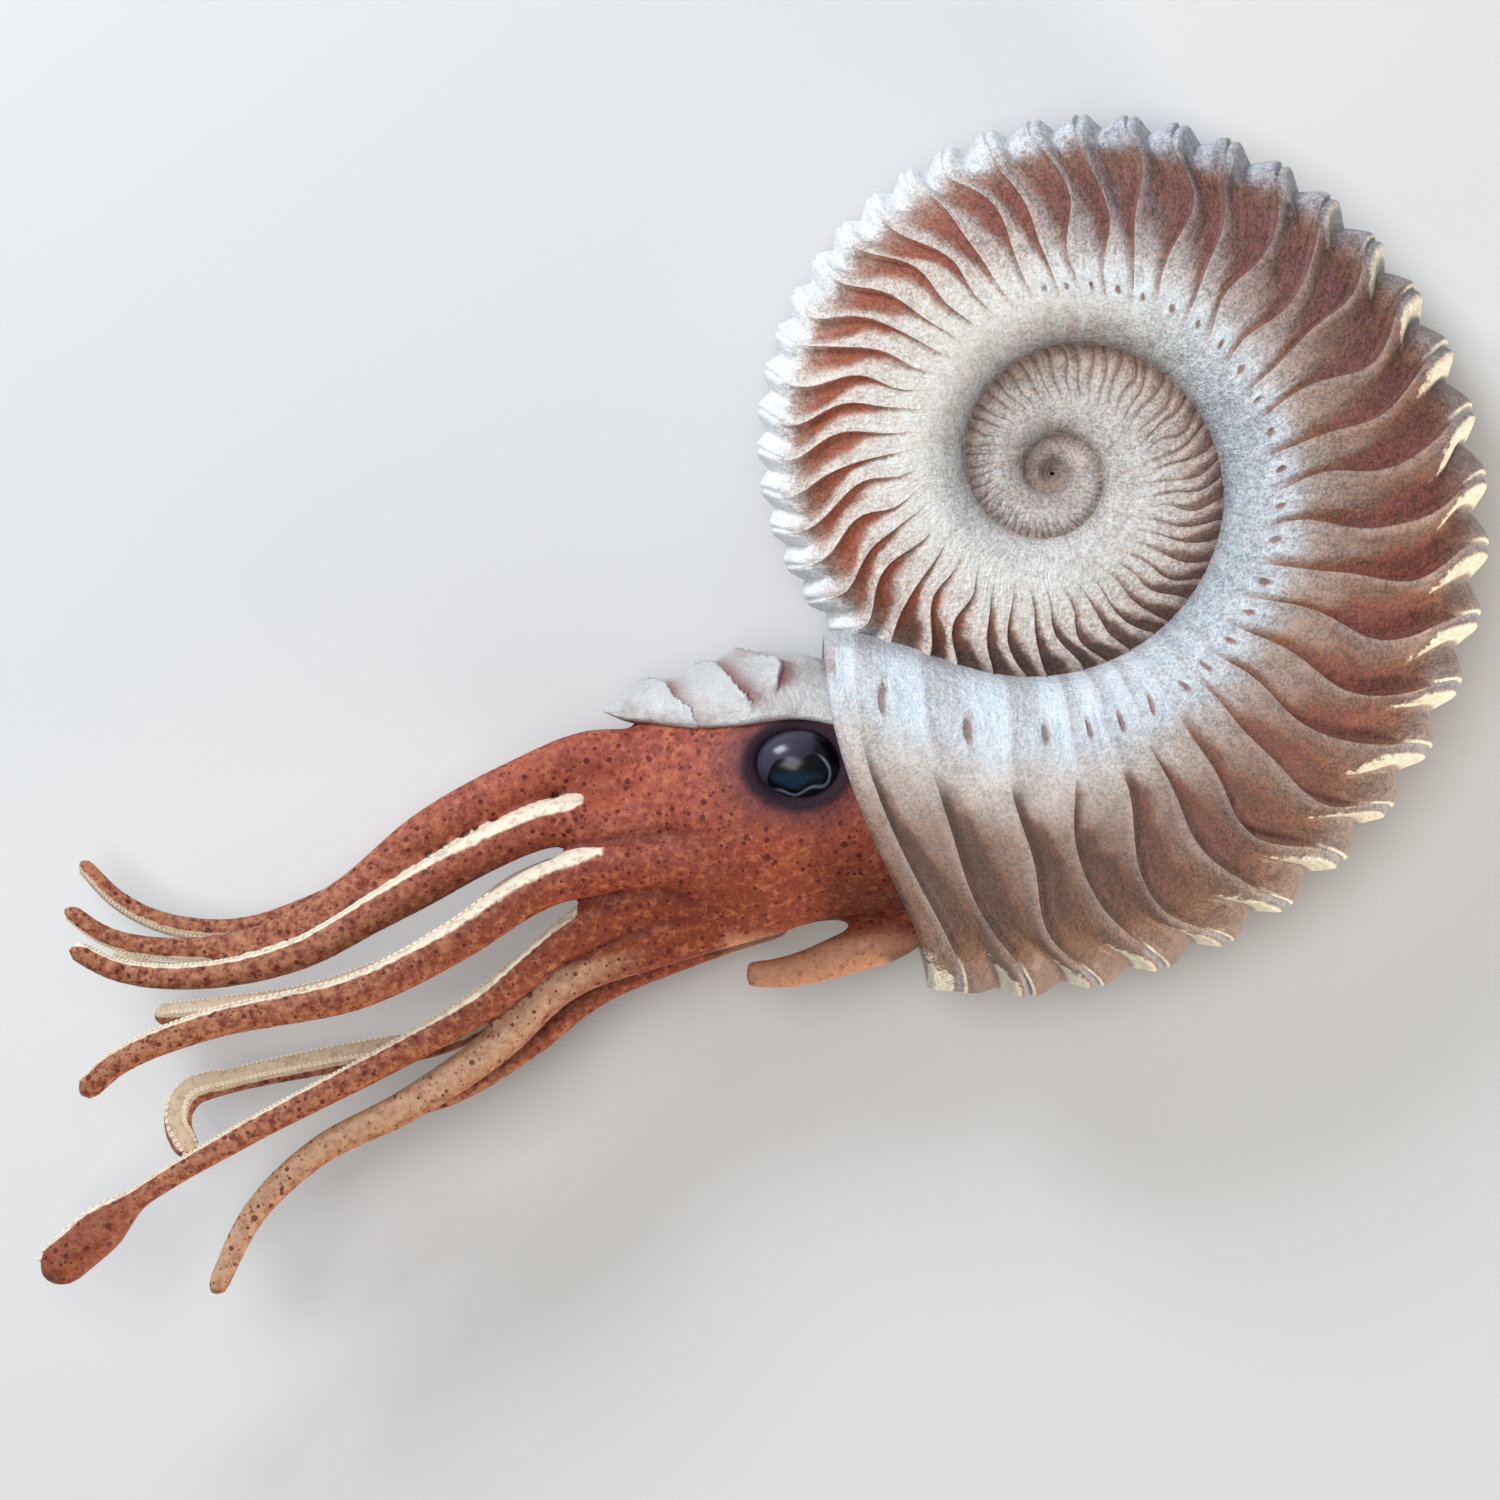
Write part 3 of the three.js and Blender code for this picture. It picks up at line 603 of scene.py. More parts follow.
# Warm and cool flecks, and light and dark ones, over all of it
warm = hue.ramp((0.40, 0.58, 0.48, 0.44), (0.60, 0.46, 0.52, 0.58))
colour = wash.mix(colour, warm, 0.5, "SOFT_LIGHT")
flecks = wool * 0.36 + striae * 0.15 + cloud * 0.13 + fuzz * 0.42
colour = wash.mix(colour, flecks.ramp((0.44, 0.18), (0.60, 0.84)), 0.6 - last * 0.2, "OVERLAY")
grain = (wool * 1.1 + fuzz * 0.12 + striae * 0.35 + boss * 0.3 - pit * 0.5 - groove * 0.2
         + fine_striae * 0.15 * share_w.between(0.8, 0.5))
bump = wash.node("ShaderNodeBump", None, {
    "Strength": 0.8, "Distance": 0.0012, "Height": grain})
wear(finish, shader, Base_Color=colour, Normal=bump,
     Roughness=0.36 + wool * 0.22 + hollow * 0.08)
shell.data.materials.append(finish)
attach(shell, "root")
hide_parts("shell")


# The soft body: head, funnel and ten arms, cast as one in rubber and painted. It fills the
# mouth of the shell. The arms leave the head in two rows of five, near and far, and part from
# each other at creases. Their inner sides, which face the middle of the crown, are pale.

# Stations of the head: middle X and Y, half height, half width, and lean in degrees
HEAD_STATIONS = np.array([
    (-16, -53, 21, 17, -20), (-27.8, -54.5, 21.9, 18, -16), (-40.6, -54.9, 21.7, 19, -5),
    (-51.8, -56.1, 23.6, 19.5, 0), (-60.3, -58.5, 23, 17.5, 0), (-68.9, -60.3, 21.8, 14.5, 2),
    (-73.7, -60.8, 17.5, 11.5, 4), (-76.5, -60.5, 10, 7, 4)])
FUNNEL = dict(
    route=((-20, -70.5, 0), (-26.6, -78.2, 0), (-35.3, -82.2, 0), (-45.8, -85.4, 0),
           (-52.5, -85.7, 0)),
    thick=(6, 2.4), thinning=0.8, cut_off=True)
# Each limb's route from root to tip, its radii there, and the power by which it thins
ARMS = {
    "arm_1_left": dict(
        route=((-62, -51, 4), (-78, -48.5, 5), (-91, -53, 6), (-106.5, -61, 7), (-120.5, -72, 8),
               (-135, -79.5, 8), (-150, -81, 8), (-160.5, -79, 8), (-168, -74, 8)),
        thick=(6.2, 1.5)),
    "arm_1_right": dict(
        route=((-62, -54, -5), (-81.5, -54, -6), (-95, -57, -7), (-112, -67.5, -8),
               (-126.5, -74.5, -8), (-140, -78.5, -8), (-152.5, -77.5, -8), (-161, -73.5, -8),
               (-168, -66.5, -8)),
        thick=(5.2, 1.5), thinning=0.7),
    "arm_2_left": dict(
        route=((-60, -61, 9), (-73.5, -60.5, 10), (-84, -59.5, 10), (-97, -64.5, 11),
               (-112, -73, 11), (-128.5, -82, 12), (-145.5, -85.5, 12), (-158, -84.5, 12),
               (-166.5, -80.5, 12)),
        thick=(5.6, 1.8)),
    "arm_2_right": dict(
        route=((-60, -61, -9), (-73.5, -60.5, -10), (-84, -60, -10), (-97, -65.5, -11),
               (-112, -74, -11), (-128.5, -82, -12), (-145.5, -86, -12), (-156, -85.5, -12),
               (-163, -82.5, -12)),
        thick=(5.2, 1.4), thinning=0.5),
    "arm_3_left": dict(
        route=((-55, -68, 11), (-68.5, -66, 12), (-86, -70, 12), (-102, -80, 12), (-118, -88, 13),
               (-142.5, -93.5, 13), (-157.5, -99.5, 13), (-164.5, -105.5, 13)),
        thick=(5.4, 2.1)),
    "arm_3_right": dict(
        route=((-60.5, -68, -10), (-76, -67.5, -11), (-91, -71.5, -11), (-105.5, -82, -10),
               (-126.5, -90, -10), (-144, -92.5, -10), (-155.5, -93.5, -10)),
        thick=(4.8, 2.0)),
    "arm_4_left": dict(
        route=((-50, -70, 8), (-62.5, -69.5, 9), (-79, -76, 9), (-97, -90.5, 9),
               (-112.5, -99.5, 9), (-136.5, -112, 10), (-155, -123, 10), (-165, -131.5, 10),
               (-171, -136.5, 10)),
        thick=(4.2, 1.6), club=2.3),
    "arm_4_right": dict(
        route=((-52, -70.5, -8), (-71, -77.5, -9), (-91.5, -90.5, -9), (-105.5, -97.5, -8),
               (-124, -101, -8), (-141, -104.5, -8), (-149, -107, -8), (-151, -112, -8),
               (-148.5, -118, -8)),
        thick=(4.2, 1.9), club=0.5),
    "arm_5_left": dict(
        route=((-45.5, -74, 4), (-65.5, -80, 5), (-83, -86.5, 5), (-95.5, -98, 6),
               (-110.5, -108, 6), (-125, -115.5, 6), (-136, -126, 6), (-143, -140, 6)),
        thick=(4.3, 1.8), thinning=1.2),
    "arm_5_right": dict(
        route=((-46.5, -76, -4), (-62, -81.5, -4), (-78.5, -89, -4), (-89.5, -98, -4),
               (-102, -106, -5), (-115.5, -111, -5), (-126, -116, -5), (-134.5, -124, -5)),
        thick=(3.7, 0.9), thinning=1.2),
}
USUAL_THINNING = 0.65
CLUB_LENGTH = 22.0
TIP_BLUNTNESS = 1.15
LIMB_SIDES = 20


def unit(vectors):
    """The vectors, each divided by its length."""
    return vectors / np.linalg.norm(vectors, axis=-1, keepdims=True)


def walked_to(points):
    """How far one has walked along a line at each of its points."""
    steps = np.linalg.norm(np.diff(points, axis=0), axis=1)
    return np.concatenate([[0], np.cumsum(steps)])


def at_lengths(lengths, walked, values):
    """The values of a line's points, such as their places, read off at lengths along it."""
    return np.stack([np.interp(lengths, walked, values[:, k]) for k in range(3)], -1)


def smooth_route(points, count):
    """Count points evenly spaced along the curve through the points whose slope at each
    comes from its neighbours, weighted by the square roots of their distances."""
    p = np.asarray(points, float)
    p = np.vstack([2 * p[0] - p[1], p, 2 * p[-1] - p[-2]])
    gap = np.sqrt(np.linalg.norm(np.diff(p, axis=0), axis=1))[:, None]
    before, here, after = gap[:-2], gap[1:-1], gap[2:]
    x0, x1, x2, x3 = p[:-3], p[1:-2], p[2:-1], p[3:]
    m1 = here * ((x1 - x0) / before - (x2 - x0) / (before + here) + (x2 - x1) / here)
    m2 = here * ((x2 - x1) / here - (x3 - x1) / (here + after) + (x3 - x2) / after)
    place = np.linspace(0, len(x1), 1200)
    k = np.minimum(place.astype(int), len(x1) - 1)
    u = (place - k)[:, None]
    dense = ((2 * u**3 - 3 * u**2 + 1) * x1[k] + (u**3 - 2 * u**2 + u) * m1[k]
             + (3 * u**2 - 2 * u**3) * x2[k] + (u**3 - u**2) * m2[k])
    walked = walked_to(dense)
    return at_lengths(np.linspace(0, walked[-1], count), walked, dense), walked[-1]


def limb_lines(arm, count=130):
    """Middle line of a limb, its radius along it, and its sideways and upward directions.
    The radius goes from root to tip by a power of the way and swells at a club. The tip is
    rounded off as a circle is, unless the limb is cut off straight."""
    middle, length = smooth_route(arm["route"], count)
    along = np.linspace(0, 1, count)
    root, tip = arm["thick"]
    club = arm.get("club", 0.0)
    left = (1 - along) * length
    radius = root + (tip - root) * along ** arm.get("thinning", USUAL_THINNING)
    radius = radius + club * smooth(CLUB_LENGTH - left, 0, CLUB_LENGTH * 0.45)
    if not arm.get("cut_off"):
        blunt = np.clip(left / ((tip + club) * TIP_BLUNTNESS), 0, 1)
        radius = radius * np.maximum(0.25, np.sqrt(1 - (1 - blunt) ** 2))
    forward = unit(np.gradient(middle, axis=0))
    sideways = unit(np.cross(forward, (0, 0, 1)))
    upwards = np.cross(sideways, forward)
    return middle, radius, sideways, upwards


def ring_points(middle, across, over, half_across, half_over, sides):
    """Ellipses round the points of a line, spanned by two directions."""
    turn = np.linspace(0, 2 * np.pi, sides, endpoint=False)[None, :, None]
    return (middle[:, None] + np.cos(turn) * (across * half_across[:, None])[:, None]
            + np.sin(turn) * (over * half_over[:, None])[:, None])


def closed_tube(rings):
    """The points and faces of a closed tube through rings of points."""
    return rings.reshape(-1, 3), tube_faces(rings.shape[0], rings.shape[1])


# Skin fills the forks of two pairs of arms: where it starts and ends, and its radii there
FORK_SKINS = (((-64, -54.5, 7.5), (-83.0, -55.4, 9.0), 2.8, 1.3),
              ((-60, -74.8, 8.0), (-83.5, -82.2, 8.8), 3.1, 1.4))
FORK_RINGS = 24
HEAD_SIDES = 40
HEAD_RINGS = 48
station_numbers = np.arange(len(HEAD_STATIONS))
head_place = np.linspace(0, station_numbers[-1], HEAD_RINGS)
head_low = np.minimum(head_place.astype(int), station_numbers[-2])
head_ease = smooth(head_place - head_low, 0, 1)[:, None]
head_sizes = HEAD_STATIONS[head_low] * (1 - head_ease) + HEAD_STATIONS[head_low + 1] * head_ease
head_middle = np.stack([
    np.interp(head_place, station_numbers, HEAD_STATIONS[:, 0]),
    np.interp(head_place, station_numbers, HEAD_STATIONS[:, 1]),
    np.zeros(HEAD_RINGS)], -1)
head_lean = np.radians(head_sizes[:, 4])
head_up = np.stack([np.sin(head_lean), np.cos(head_lean), np.zeros(HEAD_RINGS)], -1)
head_across = np.broadcast_to((0.0, 0.0, 1.0), head_up.shape)
head_rings = ring_points(head_middle, head_across, head_up, head_sizes[:, 3], head_sizes[:, 2],
                         HEAD_SIDES)

# The plug of body in the mouth of the shell is the shell's own section, a little smaller
BODY_SCALE = 0.872
plug_edges = np.linspace(CHAMBER_START_ANGLE + 3, LIP_ANGLE - 3, 9)[:, None]
plug_turns = np.linspace(0, 2 * np.pi, 48, endpoint=False)[None, :]
plug_rings, _, _ = whorl(plug_edges, plug_turns, 0.0, 0.0, BODY_SCALE)

lines = {name: limb_lines(arm) for name, arm in ARMS.items()}
tubes = [*lines.values(), limb_lines(FUNNEL)]
for start, end, thick_in, thick_out in FORK_SKINS:
    forward = unit(np.subtract(end, start))
    sideways = np.cross(forward, (0, 0, 1))[None, :]
    tubes.append((np.linspace(start, end, FORK_RINGS), np.linspace(thick_in, thick_out, FORK_RINGS),
                  sideways, np.cross(sideways, forward)))
parts = [closed_tube(head_rings), closed_tube(plug_rings)]
for middle, radius, sideways, upwards in tubes:
    parts.append(closed_tube(ring_points(middle, sideways, upwards, radius, radius, LIMB_SIDES)))

# All of them are fused to one skin, whose points are then worked on in the coil frame
SKIN_GRAIN = 0.00075
rough_points = np.vstack([points for points, _ in parts])
starts = np.cumsum([0] + [len(points) for points, _ in parts])
rough_faces = [[corner + start for corner in face]
               for start, (_, faces) in zip(starts, parts) for face in faces]
rough = put_together("rough_body", rough_points, rough_faces)
fuse = rough.modifiers.new("fuse", "REMESH")
fuse.mode = "VOXEL"
fuse.voxel_size = SKIN_GRAIN
fused = bpy.data.meshes.new_from_object(
    rough.evaluated_get(bpy.context.evaluated_depsgraph_get()))
bpy.data.objects.remove(rough)

count = len(fused.vertices)
skin_world = np.empty(count * 3)
fused.vertices.foreach_get("co", skin_world)
skin_points = (skin_world.reshape(-1, 3) * 1000 - COIL_PLACE) @ np.array(turn_to_lie)
ties = np.empty(len(fused.edges) * 2, int)
fused.edges.foreach_get("vertices", ties)
ties = ties.reshape(-1, 2)
skin_quads = np.empty(len(fused.polygons) * 4, int)
fused.polygons.foreach_get("vertices", skin_quads)
skin_quads = skin_quads.reshape(-1, 4)
bpy.data.meshes.remove(fused)


def averaged(values, ties):
    """Each point's mean over the points that it is tied to."""
    many = np.bincount(ties.ravel(), minlength=len(values))
    return np.stack([
        np.bincount(ties[:, 0], values[ties[:, 1], k], len(values))
        + np.bincount(ties[:, 1], values[ties[:, 0], k], len(values))
        for k in range(values.shape[1])], -1) / many[:, None]


def surface_normals(points, quads):
    """Unit normals at the points: the sums of the crossed diagonals of their quads."""
    crossed = np.cross(points[quads[:, 2]] - points[quads[:, 0]],
                       points[quads[:, 3]] - points[quads[:, 1]])
    total = np.stack([np.bincount(quads.ravel(), np.repeat(crossed[:, k], 4), len(points))
                      for k in range(3)], -1)
    return total / np.maximum(1e-12, np.linalg.norm(total, axis=1, keepdims=True))


def nearest_on(points, middle, radius):
    """For each point the nearest place on a line, and how far it is outside the radius."""
    best = np.full(len(points), 1e9)
    where = np.zeros(len(points), int)
    for k in range(len(middle)):
        far = np.linalg.norm(points - middle[k], axis=1) - radius[k]
        closer = far < best
        best = np.where(closer, far, best)
        where = np.where(closer, k, where)
    return where, best


# The way each arm's inner side faces, towards the middle of the crown: down on the topmost
# pair and up on the others. The last number is where along X its pale skin starts. Its band
# is broader near the head on three of the near arms
INNER_SIDES = {
    "arm_1_left": (0, -0.95, -0.3, -106), "arm_1_right": (0, -0.97, 0.25, -84),
    "arm_2_left": (0, 0.9, -0.42, -80), "arm_2_right": (0, 0.8, 0.6, -80),
    "arm_3_left": (0, 0.9, -0.42, -74), "arm_3_right": (0, 0.8, 0.6, -88),
    "arm_4_left": (0, 0.85, -0.5, -71), "arm_4_right": (0, 0.66, 0.75, -94),
    "arm_5_left": (0, 0.8, 0.6, -70), "arm_5_right": (0, 0.97, 0.0, -84),
}
BROAD_BANDS = ("arm_2_left", "arm_3_left", "arm_4_left")


def inner_side(name):
    """Unit direction in which the inner side of the named arm faces."""
    return unit(np.array(INNER_SIDES[name][:3]))


# Smoothed well on the head and in the creases, and only lightly out on the thin arms
SMOOTHING_ROUNDS = 14
calm = 0.08 + 0.5 * smooth(skin_points[:, 0], -105, -80)[:, None]
for _ in range(SMOOTHING_ROUNDS):
    skin_points = skin_points + calm * (averaged(skin_points, ties) - skin_points)

# For each point of the skin: how far along its limb it is, how far it faces the inner side,
# whether the limb is of the far row or the tan one, and how far off the next limb is
limb_at, limb_inner, limb_beige, limb_tan = np.zeros((4, count))
limb_gap, next_gap = np.full((2, count), 1e9)
skin_normals = surface_normals(skin_points, skin_quads)
for name, (middle, radius, *_) in lines.items():
    where, gap = nearest_on(skin_points, middle, radius)
    facing = skin_normals @ inner_side(name)
    closer = gap < limb_gap
    next_gap = np.where(closer, limb_gap, np.minimum(next_gap, gap))
    limb_gap = np.where(closer, gap, limb_gap)
    limb_at = np.where(closer, where / (len(middle) - 1), limb_at)
    lowest = name == "arm_5_left"
    pale_from = INNER_SIDES[name][3]
    bare = facing - 2 * lowest - smooth(skin_points[:, 0], pale_from - 3, pale_from + 3)
    bare = bare + (name in BROAD_BANDS) * 0.4 * smooth(skin_points[:, 0], -122, -92)
    limb_inner = np.where(closer, bare, limb_inner)
    limb_tan = np.where(closer, lowest * (0.3 + 0.7 * smooth(facing, -0.2, 0.4)), limb_tan)
    limb_beige = np.where(closer, float(name.endswith("right")), limb_beige)
on_limb = smooth(limb_gap, 1.2, 0.1) * smooth(skin_points[:, 0], -66, -82)
club = smooth(skin_points[:, 0], -152, -158) * smooth(skin_points[:, 1], -119, -122)

# The limbs part at creases, which run back over the head as shallow furrows
FURROW_HALF = 1.1
FURROW_DEPTH = 0.7
furrow = np.exp(-(((next_gap - limb_gap) / FURROW_HALF) ** 2)) * smooth(limb_gap, 5.0, 1.0)
furrow = furrow * smooth(skin_points[:, 0], -52, -64) * smooth(skin_points[:, 0], -100, -88)
skin_points = skin_points - FURROW_DEPTH * furrow[:, None] * skin_normals

# A low lid stands round each eye, and the skin sinks under the ball
EYE_PLACE = np.array((-43.8, -49.7, 15.0))
EYE_SIZE = np.array((7.6, 6.1, 5.6))
LID_HEIGHT = 0.3
SOCKET_DEPTH = 2.6
eye_x = (skin_points[:, 0] - EYE_PLACE[0]) / EYE_SIZE[0]
eye_y = (skin_points[:, 1] - EYE_PLACE[1]) / EYE_SIZE[1]
eye_round = np.hypot(eye_x, eye_y) + 5.0 * (np.abs(skin_points[:, 2]) < 8)
lid = (LID_HEIGHT * np.exp(-(((eye_round - 1.16) / 0.14) ** 2))
       - SOCKET_DEPTH * smooth(eye_round, 1.02, 0.8))
skin_points = skin_points + skin_normals * lid[:, None]

skin = put_together(
    "skin_body", skin_points, skin_quads.tolist(),
    {"along": limb_at, "inner": limb_inner * on_limb, "limb": on_limb,
     "beige": limb_beige, "tan": limb_tan * on_limb, "furrow": furrow, "club": club,
     "eye_round": np.minimum(eye_round, 4.0),
     "height": skin_points[:, 1], "reach": skin_points[:, 0]})

finish, wash, shader = new_finish("skin_paint", 0.5, 0.0, 0.22)
spot = wash.node("ShaderNodeTexCoord", output="Object")
inner, limb, along, beige, tan = map(wash.number, ("inner", "limb", "along", "beige", "tan"))
furrow, club, eye_round = map(wash.number, ("furrow", "club", "eye_round"))
height, reach = map(wash.number, ("height", "reach"))
cloud = wash.noise(spot, 90.0, 4.0, 0.6)
pores = wash.noise(spot, 1500.0, 2.0, 0.6)
fleck = wash.noise(spot, 700.0, 3.0, 0.6)
mottle = wash.noise(spot, 620.0, 4.0, 0.7)
back = (height + (cloud - 0.5) * 20.0).between(-82.0, -52.0)
blotch = (mottle + (cloud - 0.5) * 0.5).between(0.47, 0.66)
colour = wash.layers(
    wash.mix(tint(0.44, 0.19, 0.10), tint(0.59, 0.29, 0.22), back),
    (0.40, 0.14, 0.10, blotch * 0.6),
    (0.76, 0.48, 0.33, mottle.between(0.50, 0.34) * 0.38),
    # painted shade on the head close to the shell
    (0.34, 0.14, 0.12, reach.between(-36.0, -14.0) * 0.7),
    # painted shade in the furrows where the limbs part
    (0.34, 0.13, 0.11, furrow * 0.6),
    (0.70, 0.49, 0.37, limb * along.between(0.15, 0.8) * mottle.between(0.66, 0.4) * 0.6),
    (0.46, 0.20, 0.13, club * 0.6),
    (0.70, 0.56, 0.45, tan * (0.9 - (mottle - 0.4) * 1.8)),
)
pale = wash.mix(tint(0.87, 0.83, 0.75), tint(0.78, 0.70, 0.61), beige)
pale = wash.layers(pale, (0.66, 0.50, 0.40, mottle.between(0.5, 0.62) * 0.5))
inner_edge = (inner + (fleck - 0.5) * 0.25).between(0.30, 0.44)
colour = wash.mix(colour, pale, inner_edge * 0.92)


def spots(scale, size, missing):
    """Round dark spots in the cells of a jittered grid, of radii from 0.4 to 1.3 times size
    by chance, without those whose chance is under missing."""
    cell = {"feature": "F1"}
    near = {"Vector": spot, "Scale": scale, "Randomness": 1.0}
    apart = wash.node("ShaderNodeTexVoronoi", cell, near, "Distance")
    which = wash.node("ShaderNodeTexVoronoi", cell, near, "Color")
    chance = wash.node("ShaderNodeSeparateColor", None, {0: which}, 0)
    disc = (size * (chance * 0.9 + 0.4) - apart + (fleck - 0.5) * 0.08).between(0.0, 0.05)
    return disc * chance.between(missing, missing + 0.05)


tube = height.between(-77.0, -81.0) * reach.between(-58.0, -54.0)
dots = wash.math("MAXIMUM", spots(300.0, 0.17, 0.08), spots(560.0, 0.24, 0.06))
dots = wash.math("MAXIMUM", dots, spots(950.0, 0.26, 0.1) * 0.7)
dots = dots * inner.between(0.5, 0.3) * (1 - tube * 0.6)
# Painted shade round each eye: dark purple fading out into the skin, and near black in the socket
# where the skin sinks under the ball
shade = (eye_round + (cloud - 0.5) * 0.5).between(2.3, 1.15)
socket = (eye_round + (cloud - 0.5) * 0.2).between(1.42, 1.14)
colour = wash.layers(
    colour,
    (0.73, 0.53, 0.42, tube * (1.0 - mottle * 0.5)),
    (0.29, 0.06, 0.05, dots * 0.85),
    (0.32, 0.17, 0.20, shade * 0.75),
    (0.15, 0.08, 0.13, socket),
)
grain = pores * 0.25 + fleck * 0.5 + mottle * 0.5 - dots * 0.15
bump = wash.node("ShaderNodeBump", None, {"Strength": 0.55, "Distance": 0.0007, "Height": grain})
wear(finish, shader, Base_Color=colour, Normal=bump,
     Roughness=0.44 + fleck * 0.25 + eye_round.between(1.4, 1.1) * 0.2)
shader.inputs["Subsurface Weight"].default_value = 0.06
shader.inputs["Subsurface Radius"].default_value = (0.003, 0.0015, 0.001)
skin.data.materials.append(finish)
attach(skin, "root")
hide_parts("head", "funnel", *ARMS)


# The suckers: two rows of small pale cups of rubber on the inner sides of the upper eight
# arms, cast with them. Each is a low disc with a raised rim and a dimple, larger where its
# arm is thicker, and the rows end short of the head and of the tip.

SUCKERED_ARMS = 8
SUCKER_ANGLE = 40.0
SUCKER_SHARE = 0.165
SUCKER_STEP = 2.3
SUCKER_SINK = 0.97
SUCKERS_FROM = 20.0
BARE_TIP = 1.5
ROW_OFFSET = 0.3
SUCKER_SIDES = 12
SUCKER_ACROSS = np.array((1.0, 1.0, 0.82, 0.5, 0.12))
SUCKER_HEIGHTS = np.array((-0.9, 0.26, 0.44, 0.22, 0.08))

sucker_turn = np.linspace(0, 2 * np.pi, SUCKER_SIDES, endpoint=False)
cup = np.stack([
    SUCKER_ACROSS[:, None] * np.cos(sucker_turn), SUCKER_ACROSS[:, None] * np.sin(sucker_turn),
    np.broadcast_to(SUCKER_HEIGHTS[:, None], (len(SUCKER_HEIGHTS), SUCKER_SIDES))], -1)
cup = cup.reshape(-1, 3)
cup_faces = tube_faces(len(SUCKER_ACROSS), SUCKER_SIDES)
sucker_points = []
for name in list(ARMS)[:SUCKERED_ARMS]:
    middle, radius = lines[name][:2]
    forward = unit(np.gradient(middle, axis=0))
    walked = walked_to(middle)
    stops = [np.interp(INNER_SIDES[name][3] - SUCKERS_FROM, middle[::-1, 0], walked[::-1])]
    while stops[-1] < walked[-1] - BARE_TIP:
        size = SUCKER_SHARE * np.interp(stops[-1], walked, radius)
        stops.append(stops[-1] + SUCKER_STEP * size)
    for row in (-1, 1):
        place = np.array(stops[:-1]) + (row > 0) * ROW_OFFSET
        centre = at_lengths(place, walked, middle)
        ahead = at_lengths(place, walked, forward)
        thick = np.interp(place, walked, radius)[:, None]
        inward = unit(inner_side(name) - (ahead @ inner_side(name))[:, None] * ahead)
        aside = np.cross(ahead, inward)
        lean = math.radians(SUCKER_ANGLE) * row
        out = inward * math.cos(lean) + aside * math.sin(lean)
        over = np.cross(ahead, out)
        at = centre + out * thick * SUCKER_SINK
        size = (SUCKER_SHARE * thick)[:, :, None]
        sucker_points.append(at[:, None] + size * (
            cup[None, :, :1] * ahead[:, None] + cup[None, :, 1:2] * over[:, None]
            + cup[None, :, 2:] * out[:, None]))
sucker_points = np.concatenate(sucker_points)
sucker_starts = range(0, len(sucker_points) * len(cup), len(cup))
sucker_faces = [[corner + start for corner in face]
                for start in sucker_starts for face in cup_faces]
suckers = put_together("suckers", sucker_points, sucker_faces,
                       {"rim": np.broadcast_to(cup[:, 2], sucker_points.shape[:2])})

finish, wash, shader = new_finish("sucker_paint", 0.45, 0.1)
rim = wash.number("rim")
spot = wash.node("ShaderNodeTexCoord", output="Object")
cloud = wash.noise(spot, 400.0, 3.0, 0.6)
colour = wash.layers(
    tint(0.78, 0.68, 0.57),
    (0.92, 0.88, 0.80, rim.between(0.1, 0.36)),
    (0.72, 0.60, 0.50, cloud.between(0.5, 0.7) * 0.5),
)
wear(finish, shader, Base_Color=colour, Roughness=0.35 + cloud * 0.2)
suckers.data.materials.append(finish)
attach(suckers, "root")


# The hood: a leathery white shield that folds down over the back of the head like a saddle
# and runs out to a point above the arms. It is cast on its own and set on the head.

# Stations of the hood: middle X, height of its ridge, height of its edges, and half width
HOOD_STATIONS = np.array([
    (-34.5, -33.3, -43.6, 16.4), (-43.7, -30.7, -41.7, 16.6),
    (-52.8, -30.7, -42.7, 17), (-61.4, -34, -43.2, 13.6), (-68.9, -36, -42.2, 9.6),
    (-73.4, -37.9, -41.7, 5), (-76.8, -39.9, -40.7, 1.2)])
HOOD_THICKNESS = 2.6
HOOD_ROWS = 150
HOOD_COLUMNS = 61
hood_line, _ = smooth_route(HOOD_STATIONS[:, :3], HOOD_ROWS)
hood_half = np.interp(-hood_line[:, 0], -HOOD_STATIONS[:, 0], HOOD_STATIONS[:, 3])
arc = np.linspace(-np.pi / 2, np.pi / 2, HOOD_COLUMNS)
hood_x = hood_line[:, :1] + 0 * arc
across = np.abs(arc) / (np.pi / 2)

# Three folds run across the hood from its ridge down to its edges. Each is the raised edge
# of a plate that lies over the one behind it: where its edge is along X at shares of the
# way down, and where on that way it starts and ends to fade
FOLD_SHARES = (0.0, 0.1, 0.2, 0.31, 0.38, 0.5, 0.6, 0.72, 0.8, 0.9, 1.0)
FOLDS = (
    (-70.6, -69.4, -68.3, -67.0, -66.2, -65.5, -65.0, -63.3, -61.8, -61.4, -60.6),
    (-61.2, -59.6, -58.4, -57.4, -56.8, -55.8, -54.8, -53.2, -52.0, -50.8, -49.6),
    (-54.6, -53.5, -52.6, -50.2, -46.8, -46.5, -46.8, -47.2, -47.4, -47.5, -47.6),
)
FOLD_FADES = ((0.0, 2.0), (0.75, 0.95), (0.6, 0.85))
FOLD_HEIGHT = 1.5
FOLD_REACH = 3.2
fold_height = np.zeros((HOOD_ROWS, HOOD_COLUMNS))
fold_shade = np.zeros_like(fold_height)
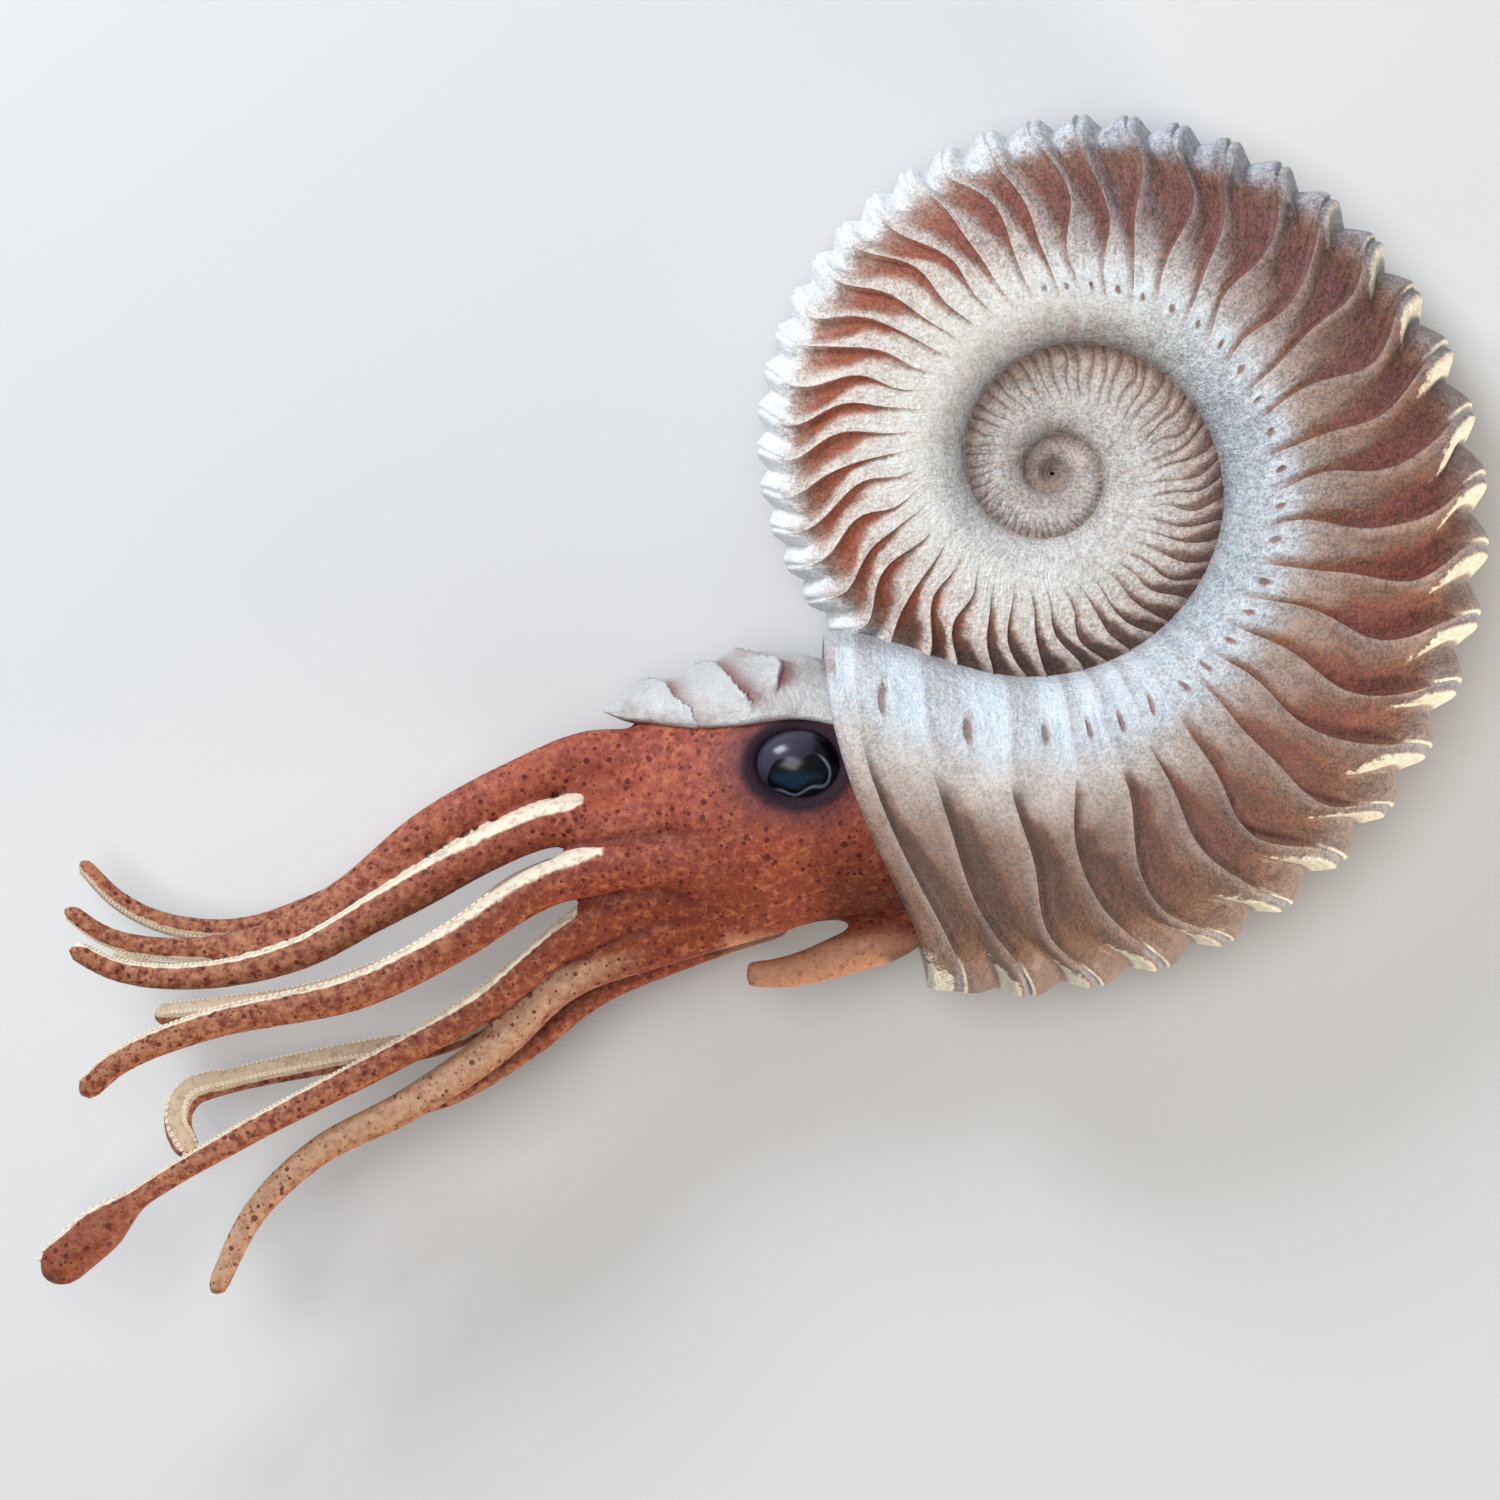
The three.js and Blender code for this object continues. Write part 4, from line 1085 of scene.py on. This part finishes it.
for line, (fade_from, fade_to) in zip(FOLDS, FOLD_FADES):
    behind = hood_x - np.interp(across, FOLD_SHARES, line)[None, :]
    strength = smooth(across, fade_to, fade_from)[None, :]
    near = strength * np.exp(-np.abs(behind) / FOLD_REACH)
    fold_height = fold_height + FOLD_HEIGHT * near * (behind < 0)
    # painted shade behind each raised edge, fading away from it
    fold_shade = np.maximum(fold_shade, near * (behind > 0))
hood_rise = (hood_line[:, 1] - hood_line[:, 2])[:, None]
fold_height = fold_height * smooth(hood_x, -76.5, -72.5)
hood_thinning = smooth(hood_x, -77.5, -70)


def hood_skin(depth, folded):
    """The saddle at a depth under its top: over each cross section the height goes by the
    cosine of the arc from the edges to the ridge, and the place across by its sine. Folds
    stand up on it by their height."""
    lift = fold_height * folded - depth
    y = hood_line[:, 2:3] + (hood_rise + lift * 0.9) * np.cos(arc) - depth * 0.35
    z = (hood_half[:, None] + lift * 0.7) * np.sin(arc)
    return np.stack([hood_x, y, z], -1)


hood_top = hood_skin(0.0, 1.0)
hood_under = hood_skin(HOOD_THICKNESS * (0.15 + 0.85 * hood_thinning), 0.0)
hood_rings = np.concatenate([hood_top, hood_under[:, ::-1]], 1)
hood = put_together("hood_shield", hood_rings.reshape(-1, 3), tube_faces(*hood_rings.shape[:2]),
                    # painted shade over all of the underside
                    {"fold": np.concatenate([fold_shade, fold_shade * 0 + 0.6], 1)})
finish, wash, shader = new_finish("hood_paint", 0.33, 0.35)
spot = wash.node("ShaderNodeTexCoord", output="Object")
painted_hood_shade = wash.number("fold")
cloud = wash.noise(spot, 90.0, 4.0, 0.6)
grainy = wash.noise(spot, 500.0, 3.0, 0.6)
colour = wash.layers(
    tint(0.72, 0.715, 0.715),
    (0.61, 0.53, 0.52, cloud.between(0.50, 0.72)),
    # pink-brown painted shade behind the folds and under the hood
    (0.47, 0.28, 0.26, painted_hood_shade.between(0.08, 0.8) * (0.7 + cloud * 0.5)),
)
creases = wash.noise(spot, 160.0, 5.0, 0.7, 1.5)
bump = wash.node("ShaderNodeBump", None, {
    "Strength": 0.7, "Distance": 0.0016, "Height": grainy * 0.35 + cloud * 0.8 + creases})
wear(finish, shader, Base_Color=colour, Normal=bump, Roughness=0.28 + grainy * 0.16)
hood.data.materials.append(finish)
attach(hood, "root")
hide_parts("hood")


# The eyes: two balls of glossy cast resin set in the sides of the head, dark, with a pupil
# in the shape of a bean inside a pale line, and a blue glint low in it. A near-black patch at
# the rear of each is painted shade cast by its socket.

EYE_SIDES = 64
EYE_ROWS = 40

finish, wash, shader = new_finish("eye_gloss", 0.22, 0.0, 0.3)
look_x, look_y = map(wash.number, ("look_x", "look_y"))
bow_x = look_x / 0.66
bow_y = look_y + 0.27 - look_x * 0.14 + wash.math("COSINE", look_x * 8.5 + 0.4) * 0.08
bow_y = bow_y / 0.42
bow = bow_x * bow_x * bow_x * bow_x + bow_y * bow_y
lower_right = look_x - look_y
colour = wash.layers(
    tint(0.21, 0.20, 0.26),
    (0.10, 0.10, 0.14, lower_right.between(-0.7, 0.5)),
    # painted shade: a near-black patch at the rear of the ball
    (0.03, 0.02, 0.03, look_x.between(0.25, 0.5) * look_y.between(-0.15, 0.15)),
    (0.50, 0.55, 0.62, bow.belt(1.0, 1.2, 1.4, 1.7) * lower_right.between(0.05, 0.5) * 0.6),
    (0.02, 0.03, 0.05, bow.between(1.15, 0.95)),
    (0.06, 0.17, 0.24, bow.between(0.8, 0.2) * look_y.between(-0.1, -0.4) * 0.8),
    (0.04, 0.02, 0.04, (look_x * look_x + look_y * look_y).between(0.72, 0.98)),
)
wear(finish, shader, Base_Color=colour)

turn = np.linspace(0, 2 * np.pi, EYE_SIDES, endpoint=False)
rise = np.linspace(-0.5 * np.pi + 0.04, 0.5 * np.pi - 0.015, EYE_ROWS)[:, None]
for side, name in ((1, "left"), (-1, "right")):
    ball = np.stack([np.cos(rise) * np.cos(turn), np.cos(rise) * np.sin(turn) * side,
                     np.broadcast_to(np.sin(rise) * side, (EYE_ROWS, EYE_SIDES))], -1)
    place = EYE_PLACE * (1, 1, side) + ball * EYE_SIZE
    eye = put_together("eye_ball_" + name, place, tube_faces(EYE_ROWS, EYE_SIDES),
                       {"look_x": ball[..., 0], "look_y": ball[..., 1]})
    eye.data.materials.append(finish)
    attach(eye, "root")
    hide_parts("eye_" + name)
